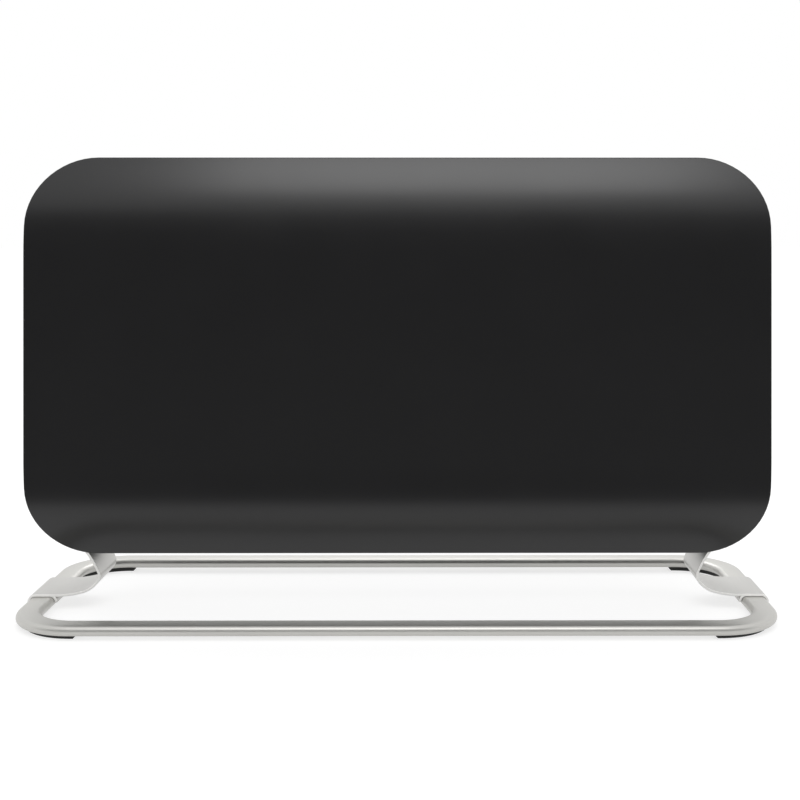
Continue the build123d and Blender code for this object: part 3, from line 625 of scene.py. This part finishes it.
def mirrored(values):
    """Values above zero with their mirror images below, and zero itself."""
    return np.concatenate([-values[::-1], [0], values])


corner_rows = corner_start + corner_radius * np.sin(np.radians(np.arange(6, 91, 6)))
bend_rows = np.linspace(flat_half, corner_start, 8)
outer_columns = np.linspace(steady_half, panel_wide, 13)[1:]
front_columns = mirrored(np.concatenate([np.linspace(0, steady_half, 17)[1:], outer_columns]))
front_rows = mirrored(np.concatenate([np.linspace(0, flat_half, 6)[1:-1], bend_rows, corner_rows]))
vent_mid = panel_half - vent_lift
band_rows = vent_rows * cell_rows
vent_steps = vent_mid + vent_pitch_z * vent_rows * (np.arange(band_rows + 1) / band_rows - 0.5)
cell_steps = np.arange(1, vent_columns * cell_columns // 2 + 1)
rear_columns = mirrored(np.concatenate([vent_pitch_x / cell_columns * cell_steps, outer_columns]))
rear_rows = mirrored(
    np.concatenate([
        np.linspace(0, flat_half, 6)[1:], vent_steps, corner_rows[corner_rows > vent_steps[-1] + vent_edge]
    ])
)
vents = [
    (
        vent_pitch_x * (column - (vent_columns - 1) / 2),
        band * vent_mid + vent_pitch_z * (row - (vent_rows - 1) / 2),
    )
    for band in (-1, 1)
    for row in range(vent_rows)
    for column in range(vent_columns)
]

# Powder coat: polyester baked on steel, black with a faint cool cast. It flows into low waves about 2 mm
# apart, which soften the mirror image, and its gloss drifts in clouds of about 70 mm.
powder_coat, tree, shader = new_material("satin_black_powder_coat")
on_panel_face = add_node(tree, "ShaderNodeTexCoord").outputs["Object"]
waves = add_node(tree, "ShaderNodeTexNoise", {"Vector": on_panel_face, "Scale": 480.0, "Detail": 1.0})
cloud = add_node(tree, "ShaderNodeTexNoise", {"Vector": on_panel_face, "Scale": 14.0, "Detail": 2.0})
feed(shader, {
    "Base Color": add_node(
        tree,
        "ShaderNodeMix",
        {"Factor": cloud, "A": linear("1b1b1c"), "B": linear("1e1e1f")},
        data_type="RGBA",
    ),
    "Roughness": add_node(tree, "ShaderNodeMapRange", {"Value": cloud, "To Min": 0.22, "To Max": 0.27}),
    "IOR": 1.5,
    "Normal": add_node(tree, "ShaderNodeBump", {"Height": waves, "Strength": 0.5, "Distance": 6e-6}),
})
put_piece("panel_front", panel(-1, front_columns, front_rows), powder_coat, ["front_panel"])
put_piece("panel_rear", panel(1, rear_columns, rear_rows, vents), powder_coat, ["rear_panel"])

# Intake plate: 1.2 mm sheet steel along the bottom, between the panels, with a row of slots for the cold
# air. It is coated with the panels' powder.


def dress(material, *nodes):
    """Gives CAD nodes a material."""
    for node in nodes:
        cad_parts[node].data.materials.clear()
        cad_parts[node].data.materials.append(material)


dress(powder_coat, "bottom_plate")

# End caps: two open mouldings between the panels' ends, each with a grip recess, two screw bosses and a pad
# that stands on its leg. Black ABS from a spark-eroded mould, so the skin is dull and evenly grained.
cap_edge = 0.0005
cap_weld = 2e-6
plain_angle = math.radians(0.5)
corner_angle = math.radians(30)


def softened(name, node, material, edge):
    """A merged copy of a CAD node with its flat facets joined; a bevel rounds its sharp edges."""
    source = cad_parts[node].data
    points = np.empty(3 * len(source.vertices))
    source.vertices.foreach_get("co", points)
    corners = np.empty(len(source.loops), np.int32)
    source.loops.foreach_get("vertex_index", corners)
    mesh = bpy.data.meshes.new(name)
    mesh.from_pydata(points.reshape(-1, 3), [], corners.reshape(-1, 3))
    mesh.materials.append(material)
    solid = bmesh.new()
    solid.from_mesh(mesh)
    bmesh.ops.remove_doubles(solid, verts=solid.verts, dist=cap_weld)
    bmesh.ops.dissolve_limit(solid, angle_limit=plain_angle, verts=solid.verts, edges=solid.edges)
    solid.to_mesh(mesh)
    solid.free()
    mesh.shade_smooth()
    mesh.set_sharp_from_angle(angle=corner_angle)
    piece = bpy.data.objects.new(name, mesh)
    bpy.context.scene.collection.objects.link(piece)
    bevel = piece.modifiers.new("broken_edges", "BEVEL")
    bevel.width = edge
    bevel.segments = 2
    bevel.limit_method = "ANGLE"
    bevel.angle_limit = corner_angle
    bevel.harden_normals = True
    bevel.use_clamp_overlap = False
    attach(piece, "heater")
    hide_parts(node)


# ABS: black with little gloss. The spark grain is 0.35 mm and shallow, and the moulding's flow leaves faint
# clouds of gloss about 40 mm across.
grained_abs, tree, shader = new_material("spark_grained_abs")
on_piece = add_node(tree, "ShaderNodeTexCoord").outputs["Object"]
grain = add_node(tree, "ShaderNodeTexNoise", {"Vector": on_piece, "Scale": 2800.0, "Detail": 2.0})
flow = add_node(tree, "ShaderNodeTexNoise", {"Vector": on_piece, "Scale": 25.0, "Detail": 2.0})
feed(shader, {
    "Base Color": add_node(
        tree,
        "ShaderNodeMix",
        {"Factor": grain, "A": linear("121212"), "B": linear("1c1c1c")},
        data_type="RGBA",
    ),
    "Roughness": add_node(tree, "ShaderNodeMapRange", {"Value": flow, "To Min": 0.42, "To Max": 0.56}),
    "IOR": 1.54,
    "Normal": add_node(tree, "ShaderNodeBump", {"Height": grain, "Strength": 0.5, "Distance": 2.5e-5}),
})
for name in ("left", "right"):
    softened(f"end_moulding_{name}", f"end_cap_{name}", grained_abs, cap_edge)

# Outlet grille: one moulded strip along the top, 6 mm deep, with a slot every 9 mm that lets the warm air
# out. The same grained ABS as the end caps, with its slot edges rounded so that nothing snags a cloth.
grille_edge = 0.0006
softened("outlet_grille", "top_grille", grained_abs, grille_edge)

# End brackets: pressed trays of 1.2 mm galvanised sheet that tie panels, caps, legs and elements together.
# Hot-dip zinc shows spangle, crystals about 7 mm across that each mirror the room at their own strength.
galvanised_sheet, tree, shader = new_material("hot_dip_galvanised_sheet")
on_piece = add_node(tree, "ShaderNodeTexCoord").outputs["Object"]
spangle = add_node(tree, "ShaderNodeTexVoronoi", {"Vector": on_piece, "Scale": 145.0}).outputs["Color"]
feed(shader, {
    "Base Color": add_node(
        tree,
        "ShaderNodeMix",
        {"Factor": spangle, "A": linear("8f9396"), "B": linear("b9bcbd")},
        data_type="RGBA",
    ),
    "Metallic": 1.0,
    "Roughness": add_node(tree, "ShaderNodeMapRange", {"Value": spangle, "To Min": 0.30, "To Max": 0.52}),
    "Normal": add_node(tree, "ShaderNodeBump", {"Height": spangle, "Strength": 0.2, "Distance": 1e-5}),
})
dress(galvanised_sheet, "end_bracket_left", "end_bracket_right")

# Heat shields: 0.8 mm aluminised sheet in front of and behind the elements, hooked on the brackets' webs.
# The rolled coating stays bright, with rolling lines along the sheet, 1 mm apart so that they show.
aluminised_sheet, tree, shader = new_material("bright_aluminised_sheet")
on_piece = add_node(tree, "ShaderNodeTexCoord").outputs["Object"]
roll_place = add_node(
    tree, "ShaderNodeVectorMath", {0: on_piece, 1: (12.0, 1000.0, 1000.0)}, operation="MULTIPLY"
)
rolled = add_node(tree, "ShaderNodeTexNoise", {"Vector": roll_place, "Scale": 1.0, "Detail": 2.0})
feed(shader, {
    "Base Color": add_node(
        tree,
        "ShaderNodeMix",
        {"Factor": rolled, "A": linear("c3c5c6"), "B": linear("dcdedf")},
        data_type="RGBA",
    ),
    "Metallic": 1.0,
    "Roughness": add_node(tree, "ShaderNodeMapRange", {"Value": rolled, "To Min": 0.18, "To Max": 0.30}),
    "Normal": add_node(tree, "ShaderNodeBump", {"Height": rolled, "Strength": 0.3, "Distance": 5e-6}),
})
dress(aluminised_sheet, "heat_shield_front", "heat_shield_rear")

# Elements: two finned aluminium extrusions pressed on their heater rods. Left as they come from the press,
# with die lines along their length, 0.6 mm apart, and a grey oxide that dulls the mirror image.
mill_finish, tree, shader = new_material("mill_finish_aluminium")
on_piece = add_node(tree, "ShaderNodeTexCoord").outputs["Object"]
die_place = add_node(
    tree, "ShaderNodeVectorMath", {0: on_piece, 1: (8.0, 1600.0, 1600.0)}, operation="MULTIPLY"
)
die_lines = add_node(tree, "ShaderNodeTexNoise", {"Vector": die_place, "Scale": 1.0, "Detail": 2.0})
oxide = add_node(tree, "ShaderNodeTexNoise", {"Vector": on_piece, "Scale": 30.0, "Detail": 4.0})
feed(shader, {
    "Base Color": add_node(
        tree,
        "ShaderNodeMix",
        {"Factor": oxide, "A": linear("9b9d9e"), "B": linear("bfc0c0")},
        data_type="RGBA",
    ),
    "Metallic": 1.0,
    "Roughness": add_node(tree, "ShaderNodeMapRange", {"Value": die_lines, "To Min": 0.36, "To Max": 0.56}),
    "Normal": add_node(tree, "ShaderNodeBump", {"Height": die_lines, "Strength": 0.4, "Distance": 8e-6}),
})
dress(mill_finish, "element_lower", "element_upper")

# Heater rods: stainless sheaths with a threaded stud at each end, carried by the bushes. Heat has tinted
# them from straw to blue in bands along the rod, about 60 mm apart.
tinted_sheath, tree, shader = new_material("heat_tinted_stainless_sheath")
on_piece = add_node(tree, "ShaderNodeTexCoord").outputs["Object"]
band_place = add_node(
    tree, "ShaderNodeVectorMath", {0: on_piece, 1: (16.0, 60.0, 60.0)}, operation="MULTIPLY"
)
tint = add_node(tree, "ShaderNodeTexNoise", {"Vector": band_place, "Scale": 1.0, "Detail": 3.0})
feed(shader, {
    "Base Color": add_node(
        tree,
        "ShaderNodeMix",
        {"Factor": tint, "A": linear("9a8466"), "B": linear("6d7480")},
        data_type="RGBA",
    ),
    "Metallic": 1.0,
    "Roughness": add_node(tree, "ShaderNodeMapRange", {"Value": tint, "To Min": 0.28, "To Max": 0.42}),
})
dress(tinted_sheath, "heater_rod_lower", "heater_rod_upper")

# Rod bushes: pressed and fired steatite, which keeps the rods' heat off the brackets. Unglazed, so it is
# matt and cream, with pores and darker specks of about 0.5 mm.
steatite, tree, shader = new_material("unglazed_steatite")
on_piece = add_node(tree, "ShaderNodeTexCoord").outputs["Object"]
pores = add_node(tree, "ShaderNodeTexNoise", {"Vector": on_piece, "Scale": 2000.0, "Detail": 3.0})
feed(shader, {
    "Base Color": add_node(
        tree,
        "ShaderNodeMix",
        {"Factor": pores, "A": linear("b7ad98"), "B": linear("e4dccb")},
        data_type="RGBA",
    ),
    "Roughness": add_node(tree, "ShaderNodeMapRange", {"Value": pores, "To Min": 0.60, "To Max": 0.75}),
    "IOR": 1.6,
    "Normal": add_node(tree, "ShaderNodeBump", {"Height": pores, "Strength": 0.5, "Distance": 3e-5}),
})
dress(steatite, "rod_bushes_left", "rod_bushes_right")

# Tube joiners and switch bodies: glass-filled nylon mouldings, the joiners plugged into the tube's ends and
# the switches strapped behind the control recess. Short fibres, drawn 1.4 mm long, show as grey flecks in
# the black.
filled_nylon, tree, shader = new_material("glass_filled_nylon")
on_piece = add_node(tree, "ShaderNodeTexCoord").outputs["Object"]
fibre_place = add_node(
    tree, "ShaderNodeVectorMath", {0: on_piece, 1: (2600.0, 700.0, 2600.0)}, operation="MULTIPLY"
)
fibres = add_node(tree, "ShaderNodeTexNoise", {"Vector": fibre_place, "Scale": 1.0, "Detail": 1.0})
feed(shader, {
    "Base Color": add_node(
        tree,
        "ShaderNodeMix",
        {"Factor": fibres, "A": linear("161616"), "B": linear("2e2e2d")},
        data_type="RGBA",
    ),
    "Roughness": add_node(tree, "ShaderNodeMapRange", {"Value": fibres, "To Min": 0.44, "To Max": 0.60}),
    "IOR": 1.53,
    "Normal": add_node(tree, "ShaderNodeBump", {"Height": fibres, "Strength": 0.3, "Distance": 1e-5}),
})
dress(filled_nylon, "tube_joiner_left", "tube_joiner_right", "thermostat_body", "selector_body")

# Control fascia: a 2 mm plate that snaps into the recess of the right end cap, with its scales screen
# printed. Fine-textured black ABS, a shade smoother than the cap, under white ink 0.06 mm thick.
fascia_edge = 0.0003
ink = 0.00006
ink_weld = 1e-7
fascia_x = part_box("control_fascia")[1].x
thermostat_z = (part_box("thermostat_knob")[0].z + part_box("thermostat_knob")[1].z) / 2
selector_z = (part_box("selector_knob")[0].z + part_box("selector_knob")[1].z) / 2
number_height = 0.0038
number_radius = 0.0256
number_past_screw = 0.0315
band_radius = 0.0220
band_thin, band_thick = 0.0002, 0.0015
number_step = 45
thermostat_sweep = 270
fine_abs, tree, shader = new_material("fine_textured_abs")
on_piece = add_node(tree, "ShaderNodeTexCoord").outputs["Object"]
texture = add_node(tree, "ShaderNodeTexNoise", {"Vector": on_piece, "Scale": 5000.0, "Detail": 1.0})
feed(shader, {
    "Base Color": add_node(
        tree,
        "ShaderNodeMix",
        {"Factor": texture, "A": linear("0f0f10"), "B": linear("171718")},
        data_type="RGBA",
    ),
    "Roughness": add_node(tree, "ShaderNodeMapRange", {"Value": texture, "To Min": 0.34, "To Max": 0.44}),
    "IOR": 1.54,
    "Normal": add_node(tree, "ShaderNodeBump", {"Height": texture, "Strength": 0.4, "Distance": 1e-5}),
})
softened("fascia_plate", "control_fascia", fine_abs, fascia_edge)

# Screen ink: white with a dull skin, and the weave of the screen, 0.25 mm, left in it.
screen_ink, tree, shader = new_material("white_screen_ink")
on_piece = add_node(tree, "ShaderNodeTexCoord").outputs["Object"]
weave = add_node(tree, "ShaderNodeTexNoise", {"Vector": on_piece, "Scale": 4000.0, "Detail": 0.0})
feed(shader, {
    "Base Color": add_node(
        tree,
        "ShaderNodeMix",
        {"Factor": weave, "A": linear("d6d6d3"), "B": linear("ecece9")},
        data_type="RGBA",
    ),
    "Roughness": add_node(tree, "ShaderNodeMapRange", {"Value": weave, "To Min": 0.45, "To Max": 0.60}),
})


def dial_place(z, radius, angle):
    """Y and Z of a place on a dial: up at 0 degrees, and on clockwise as seen from the right."""
    turn = np.radians(angle)
    return radius * np.sin(turn), z + radius * np.cos(turn)


def heat_band(z, start, finish, steps=54):
    """A printed band that widens from start to finish angle: a four-cornered section carried round."""
    angle = np.linspace(start, finish, steps + 1)
    outer = band_radius + np.linspace(band_thin, band_thick, steps + 1)
    inner = np.full(steps + 1, band_radius)
    rings = []
    for radius, rise in ((inner, 0), (outer, 0), (outer, ink), (inner, ink), (inner, 0)):
        y, up = dial_place(z, radius, angle)
        rings.append(np.stack([np.full(steps + 1, fascia_x + rise), y, up], -1))
    return grid(np.stack(rings))


put_piece(
    "thermostat_scale",
    [heat_band(thermostat_z, 0, thermostat_sweep)],
    screen_ink,
    sharp=20.0,
)

numbers = bmesh.new()
scales = [(thermostat_z, step, number_radius, number_step * (step - 0.5)) for step in range(1, 7)]
scales += [
    (selector_z, step, number_past_screw if step == 2 else number_radius, number_step * step)
    for step in range(4)
]
for z, value, radius, angle in scales:
    text = bpy.data.curves.new("number", "FONT")
    text.body = str(value)
    text.size = number_height
    text.align_x = "CENTER"
    text.align_y = "CENTER"
    text.extrude = ink / 2
    flat = bpy.data.meshes.new_from_object(bpy.data.objects.new("number", text))
    y, up = dial_place(z, radius, angle)
    flat.transform(Matrix(((0, 0, 1, fascia_x + ink / 2), (1, 0, 0, y), (0, 1, 0, up), (0, 0, 0, 1))))
    numbers.from_mesh(flat)
bmesh.ops.remove_doubles(numbers, verts=numbers.verts, dist=ink_weld)
bmesh.ops.recalc_face_normals(numbers, faces=numbers.faces)
mesh = bpy.data.meshes.new("scale_numbers")
numbers.to_mesh(mesh)
numbers.free()
mesh.materials.append(screen_ink)
piece = bpy.data.objects.new("scale_numbers", mesh)
bpy.context.scene.collection.objects.link(piece)
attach(piece, "heater")

# Knobs: thermostat above and selector below, pushed on flatted shafts. Moulded with a skirt and 30 shallow
# flutes for the fingers, semi-gloss, with a white pointer let into the top.
knob_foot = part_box("thermostat_knob")[0].x
knob_skirt_radius = 0.021
knob_skirt = 0.003
knob_radius = 0.0165
knob_height = 0.017
knob_taper = math.radians(5)
knob_rounding = 0.0008
knob_flutes = 30
flute_depth = 0.0005
flute_fade = 0.002
knob_turns = 240
axis_guard = 1e-9
shaft_radius = 0.003
pointer_width, pointer_length = 0.002, 0.0125
pointer_rise, pointer_rounding = 0.0008, 0.00035


def revolve(profile, turns=48):
    """Rings of a profile of radii and heights: radius times cosine, radius times sine, and height."""
    angle = np.linspace(0, 2 * np.pi, turns + 1)
    radius, height = profile[:, :1], np.broadcast_to(profile[:, 1:], (len(profile), turns + 1))
    return np.stack([radius * np.cos(angle), radius * np.sin(angle), height], -1)


def placed(surface, origin, right, out):
    """A surface of across, along and height, put in place: the origin plus each of them times its axis."""
    axes = np.stack([right, np.cross(out, right), out]).astype(float)
    return surface[..., :3] @ axes + origin


def knob_surface():
    """The knob's profile from its bore round the skirt and up the tapered grip to the top, turned round.
    Flutes draw the grip in by a cosine of the angle, and fade out towards its foot and its top edge."""
    top_radius = knob_radius - (knob_height - knob_skirt) * math.tan(knob_taper)
    skirt_core = (knob_skirt_radius - knob_rounding, knob_skirt - knob_rounding)
    top_core = (top_radius - knob_rounding, knob_height - knob_rounding)
    share = np.linspace(0, 1, 10)[:, None]
    grip = (1 - share) * (knob_radius, knob_skirt) + share * (top_radius, top_core[1])
    profile = np.concatenate([
        [(shaft_radius, 0), (knob_skirt_radius, 0)],
        arc(skirt_core, knob_rounding, 0, 90, steps=4),
        grip,
        arc(top_core, knob_rounding, 0, 90, steps=4)[1:],
        [(top_core[0] * 0.5, knob_height), (0, knob_height)],
    ])
    rings = revolve(profile, knob_turns)
    height = rings[..., 2]
    foot = np.clip((height - knob_skirt) / flute_fade, 0, 1)
    head = np.clip((knob_height - height) / flute_fade, 0, 1)
    flutes = 0.5 - 0.5 * np.cos(knob_flutes * np.linspace(0, 2 * np.pi, knob_turns + 1))
    inner = flute_depth * flutes * foot * head
    reach = np.maximum(np.hypot(rings[..., 0], rings[..., 1]), axis_guard)
    rings[..., :2] *= (1 - inner / reach * (reach > top_core[0] - knob_rounding))[..., None]
    return rings


# Nylon: black, smoother than the fascia, with a polish that handling leaves in soft patches.
knob_plastic, tree, shader = new_material("semi_gloss_moulded_nylon")
on_piece = add_node(tree, "ShaderNodeTexCoord").outputs["Object"]
handled = add_node(tree, "ShaderNodeTexNoise", {"Vector": on_piece, "Scale": 160.0, "Detail": 3.0})
feed(shader, {
    "Base Color": add_node(
        tree,
        "ShaderNodeMix",
        {"Factor": handled, "A": linear("101010"), "B": linear("171716")},
        data_type="RGBA",
    ),
    "Roughness": add_node(tree, "ShaderNodeMapRange", {"Value": handled, "To Min": 0.20, "To Max": 0.34}),
    "IOR": 1.53,
    "Normal": add_node(tree, "ShaderNodeBump", {"Height": handled, "Strength": 0.2, "Distance": 1e-5}),
})
pointer_outline = rounded_bar(pointer_width, 2 * pointer_rise, pointer_rounding) - (0, pointer_rise)
pointer = cut_length(pointer_outline, pointer_length / 2, pointer_rounding / 2)
side_axes = ((0, 1, 0), (1, 0, 0))
for name, z in (("thermostat", thermostat_z), ("selector", selector_z)):
    put_piece(
        f"{name}_grip",
        [grid(placed(knob_surface(), (knob_foot, 0, z), *side_axes))],
        knob_plastic,
        [f"{name}_knob"],
        f"{name}_dial",
        sharp=40.0,
    )
    put_piece(
        f"{name}_pointer",
        [grid(placed(pointer, (knob_foot + knob_height, 0, z + pointer_length / 2), *side_axes))],
        screen_ink,
        body=f"{name}_dial",
    )

# Shafts: turned brass, 6 mm, between the switches and the knobs. The tool leaves fine rings round them,
# 0.6 mm apart, and the brass has dulled to a warm satin.
turned_brass, tree, shader = new_material("turned_brass")
on_piece = add_node(tree, "ShaderNodeTexCoord").outputs["Object"]
rings = add_node(
    tree, "ShaderNodeTexWave", {"Vector": on_piece, "Scale": 500.0, "Distortion": 0.6}, bands_direction="X"
)
feed(shader, {
    "Base Color": add_node(
        tree,
        "ShaderNodeMix",
        {"Factor": rings, "A": linear("a88442"), "B": linear("cba761")},
        data_type="RGBA",
    ),
    "Metallic": 1.0,
    "Roughness": add_node(tree, "ShaderNodeMapRange", {"Value": rings, "To Min": 0.26, "To Max": 0.38}),
    "Normal": add_node(tree, "ShaderNodeBump", {"Height": rings, "Strength": 0.3, "Distance": 5e-6}),
})
dress(turned_brass, "thermostat_shaft", "selector_shaft")

# Indicator lamp: a neon in an amber polycarbonate lens, clipped into the fascia above the knobs. The dome is
# polished, and rings moulded under it, 0.45 mm apart, spread the light.
lamp_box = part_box("indicator_lamp")
lamp_z = (lamp_box[0].z + lamp_box[1].z) / 2
lamp_tail = lamp_box[0].x - fascia_x
lamp_radius, lamp_body_radius = 0.0045, 0.0034
lamp_rim, lamp_dome = 0.0006, 0.0020
dome_angle = np.radians(np.linspace(0, 90, 9))
dome = np.stack(
    [lamp_radius * np.cos(dome_angle), lamp_rim + (lamp_dome - lamp_rim) * np.sin(dome_angle)], -1
)
lamp_profile = np.concatenate([
    [(0, lamp_tail), (lamp_body_radius, lamp_tail), (lamp_body_radius, 0), (lamp_radius, 0)],
    dome[:-1],
    [(0, lamp_dome)],
])
amber_lens, tree, shader = new_material("amber_polycarbonate")
on_piece = add_node(tree, "ShaderNodeTexCoord").outputs["Object"]
lens_place = add_node(
    tree, "ShaderNodeVectorMath", {0: on_piece, 1: (0.0, 0.0, lamp_z)}, operation="SUBTRACT"
)
lens_rings = add_node(
    tree,
    "ShaderNodeTexWave",
    {"Vector": lens_place, "Scale": 700.0, "Distortion": 0.0},
    wave_type="RINGS",
    rings_direction="X",
)
feed(shader, {
    "Base Color": add_node(
        tree,
        "ShaderNodeMix",
        {"Factor": lens_rings, "A": linear("b8560a"), "B": linear("ee8a1e")},
        data_type="RGBA",
    ),
    "Roughness": add_node(tree, "ShaderNodeMapRange", {"Value": lens_rings, "To Min": 0.08, "To Max": 0.16}),
    "IOR": 1.58,
    "Transmission Weight": 0.15,
    "Coat Weight": 0.5,
    "Coat Roughness": 0.04,
    "Normal": add_node(tree, "ShaderNodeBump", {"Height": lens_rings, "Strength": 0.4, "Distance": 5e-5}),
})
put_piece(
    "lamp_lens",
    [grid(placed(revolve(lamp_profile, turns=40), (fascia_x, 0, lamp_z), *side_axes))],
    amber_lens,
    ["indicator_lamp"],
)

# Cord inlet: a bush of soft black nylon, snapped through the end cap's wall, with a rolled flange that
# keeps the lead off the wall's edge. It is left without a cord.
inlet_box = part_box("cord_inlet")
inlet_y = (inlet_box[0].y + inlet_box[1].y) / 2
inlet_z = (inlet_box[0].z + inlet_box[1].z) / 2
inlet_flange_radius = (inlet_box[1].y - inlet_box[0].y) / 2
inlet_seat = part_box("end_cap_right")[1].x
inlet_flange = inlet_box[1].x - inlet_seat
inlet_radius, inlet_bore = 0.0075, 0.00375
inlet_rounding, bore_rounding = 0.0012, 0.0008
inlet_tail = inlet_box[0].x - inlet_seat
flange_core = (inlet_flange_radius - inlet_rounding, inlet_flange - inlet_rounding)
mouth_core = (inlet_bore + bore_rounding, inlet_flange - bore_rounding)
inlet_profile = np.concatenate([
    [(inlet_bore, inlet_tail), (inlet_radius, inlet_tail), (inlet_radius, 0), (inlet_flange_radius, 0)],
    arc(flange_core, inlet_rounding, 0, 90, steps=6),
    arc(mouth_core, bore_rounding, 90, 180, steps=5),
    [(inlet_bore, inlet_tail)],
])
put_piece(
    "inlet_bush",
    [grid(placed(revolve(inlet_profile), (inlet_seat, inlet_y, inlet_z), *side_axes))],
    filled_nylon,
    ["cord_inlet"],
)

# Terminal block: three ways in a white melamine moulding on the right bracket, where the lead and the inner
# wires meet. Smooth and slightly glossy, with faint cream mottling from the filler, 3 mm across.
melamine, tree, shader = new_material("white_melamine")
on_piece = add_node(tree, "ShaderNodeTexCoord").outputs["Object"]
mottle = add_node(tree, "ShaderNodeTexNoise", {"Vector": on_piece, "Scale": 330.0, "Detail": 3.0})
feed(shader, {
    "Base Color": add_node(
        tree,
        "ShaderNodeMix",
        {"Factor": mottle, "A": linear("dcd7c9"), "B": linear("efece3")},
        data_type="RGBA",
    ),
    "Roughness": add_node(tree, "ShaderNodeMapRange", {"Value": mottle, "To Min": 0.28, "To Max": 0.40}),
    "IOR": 1.6,
})
dress(melamine, "terminal_block")

# Zinc-plated pieces: the cutout's can, the tip-over switch with its pin and weight, the studs and all nuts.
# Bright zinc with a clear passivation, which leaves a faint blue and straw shimmer in patches of about 5 mm.
zinc_plate, tree, shader = new_material("bright_zinc_plate")
on_piece = add_node(tree, "ShaderNodeTexCoord").outputs["Object"]
passivation = add_node(tree, "ShaderNodeTexNoise", {"Vector": on_piece, "Scale": 200.0, "Detail": 3.0})
plated_grain = add_node(tree, "ShaderNodeTexNoise", {"Vector": on_piece, "Scale": 3500.0, "Detail": 1.0})
feed(shader, {
    "Base Color": add_node(
        tree,
        "ShaderNodeMix",
        {"Factor": passivation, "A": linear("aeb4bd"), "B": linear("c9c5ba")},
        data_type="RGBA",
    ),
    "Metallic": 1.0,
    "Roughness": add_node(
        tree, "ShaderNodeMapRange", {"Value": plated_grain, "To Min": 0.26, "To Max": 0.40}
    ),
    "Normal": add_node(tree, "ShaderNodeBump", {"Height": plated_grain, "Strength": 0.2, "Distance": 5e-6}),
})
dress(zinc_plate, "thermal_cutout", "tilt_frame", "tilt_pin", "tilt_pendulum")
dress(zinc_plate, "leg_nuts", "front_panel_nuts", "front_panel_studs")

# Screws: cross-head pan screws of five kinds, cold headed and zinc plated. The cross is pressed into a low
# dome, and the shank runs on into the pieces that it clamps.
head_share = 2.0
head_height = 0.0022
head_wall = 0.0009
cross_width_share, cross_length_share = 0.34, 1.15
cross_depth = 0.0013
cross_slope_share, cross_blur_share = 0.35, 0.12
end_chamfer = 0.0005


def cross_screw(radius, length, turns=64):
    """A screw about its axis: the shank from its chamfered end to the seat, the head's wall, then a dome of
    an elliptic quarter. Inside a cross of two bars the dome is pressed in, deepest at the middle."""
    head = head_share * radius
    share = np.linspace(0, 1, 15)[:, None]
    dome_radius = head * np.cos(share * np.pi / 2)
    dome_height = head_wall + (head_height - head_wall) * np.sin(share * np.pi / 2)
    profile = np.concatenate([
        [(0, -length), (radius - end_chamfer, -length), (radius, end_chamfer - length)],
        [(radius, 0), (head, 0)],
        np.concatenate([dome_radius, dome_height], -1),
    ])
    rings = revolve(profile, turns)
    across, along = np.abs(rings[..., 0]), np.abs(rings[..., 1])
    half, reach = cross_width_share * radius, cross_length_share * radius
    short, long = np.minimum(across, along), np.maximum(across, along)
    blur = cross_blur_share * radius
    inside = np.clip((half - short) / blur + 0.5, 0, 1) * np.clip((reach - long) / blur + 0.5, 0, 1)
    on_dome = rings[..., 2] > head_wall
    rings[..., 2] -= on_dome * inside * cross_depth * (1 - cross_slope_share * long / reach)
    return rings


def screw_group(node, radius, facings, length=None):
    """All screws of one kind. They stand at the corners of their CAD node's box, drawn in by the heads'
    radius, with their tops on the box. Their shanks run to its other end, or a given length where they face
    both ways."""
    low, high = (np.array(corner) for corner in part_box(node))
    head = head_share * radius
    grids = []
    for facing in facings:
        out = np.array(facing, float)
        axis = int(np.argmax(np.abs(out)))
        sides = [side for side in range(3) if side != axis]
        shank = length or high[axis] - low[axis] - head_height
        seat = out * (max(low @ out, high @ out) - head_height)
        for first in np.unique(np.round((low[sides[0]] + head, high[sides[0]] - head), 6)):
            for second in np.unique(np.round((low[sides[1]] + head, high[sides[1]] - head), 6)):
                place = seat.copy()
                place[sides] = first, second
                grids.append(grid(placed(cross_screw(radius, shank), place, np.eye(3)[sides[0]], out)))
    put_piece(f"{node}_plated", grids, zinc_plate, [node], sharp=30.0)


screw_group("leg_screws", radius=0.0025, facings=[(0, 0, -1)])
screw_group("base_screws", radius=0.0025, facings=[(0, 0, -1)])
screw_group("cap_screws", radius=0.0020, facings=[(-1, 0, 0), (1, 0, 0)], length=0.064)
screw_group("rear_panel_screws", radius=0.0020, facings=[(0, 1, 0)])
screw_group("switch_screws", radius=0.0015, facings=[(1, 0, 0)])
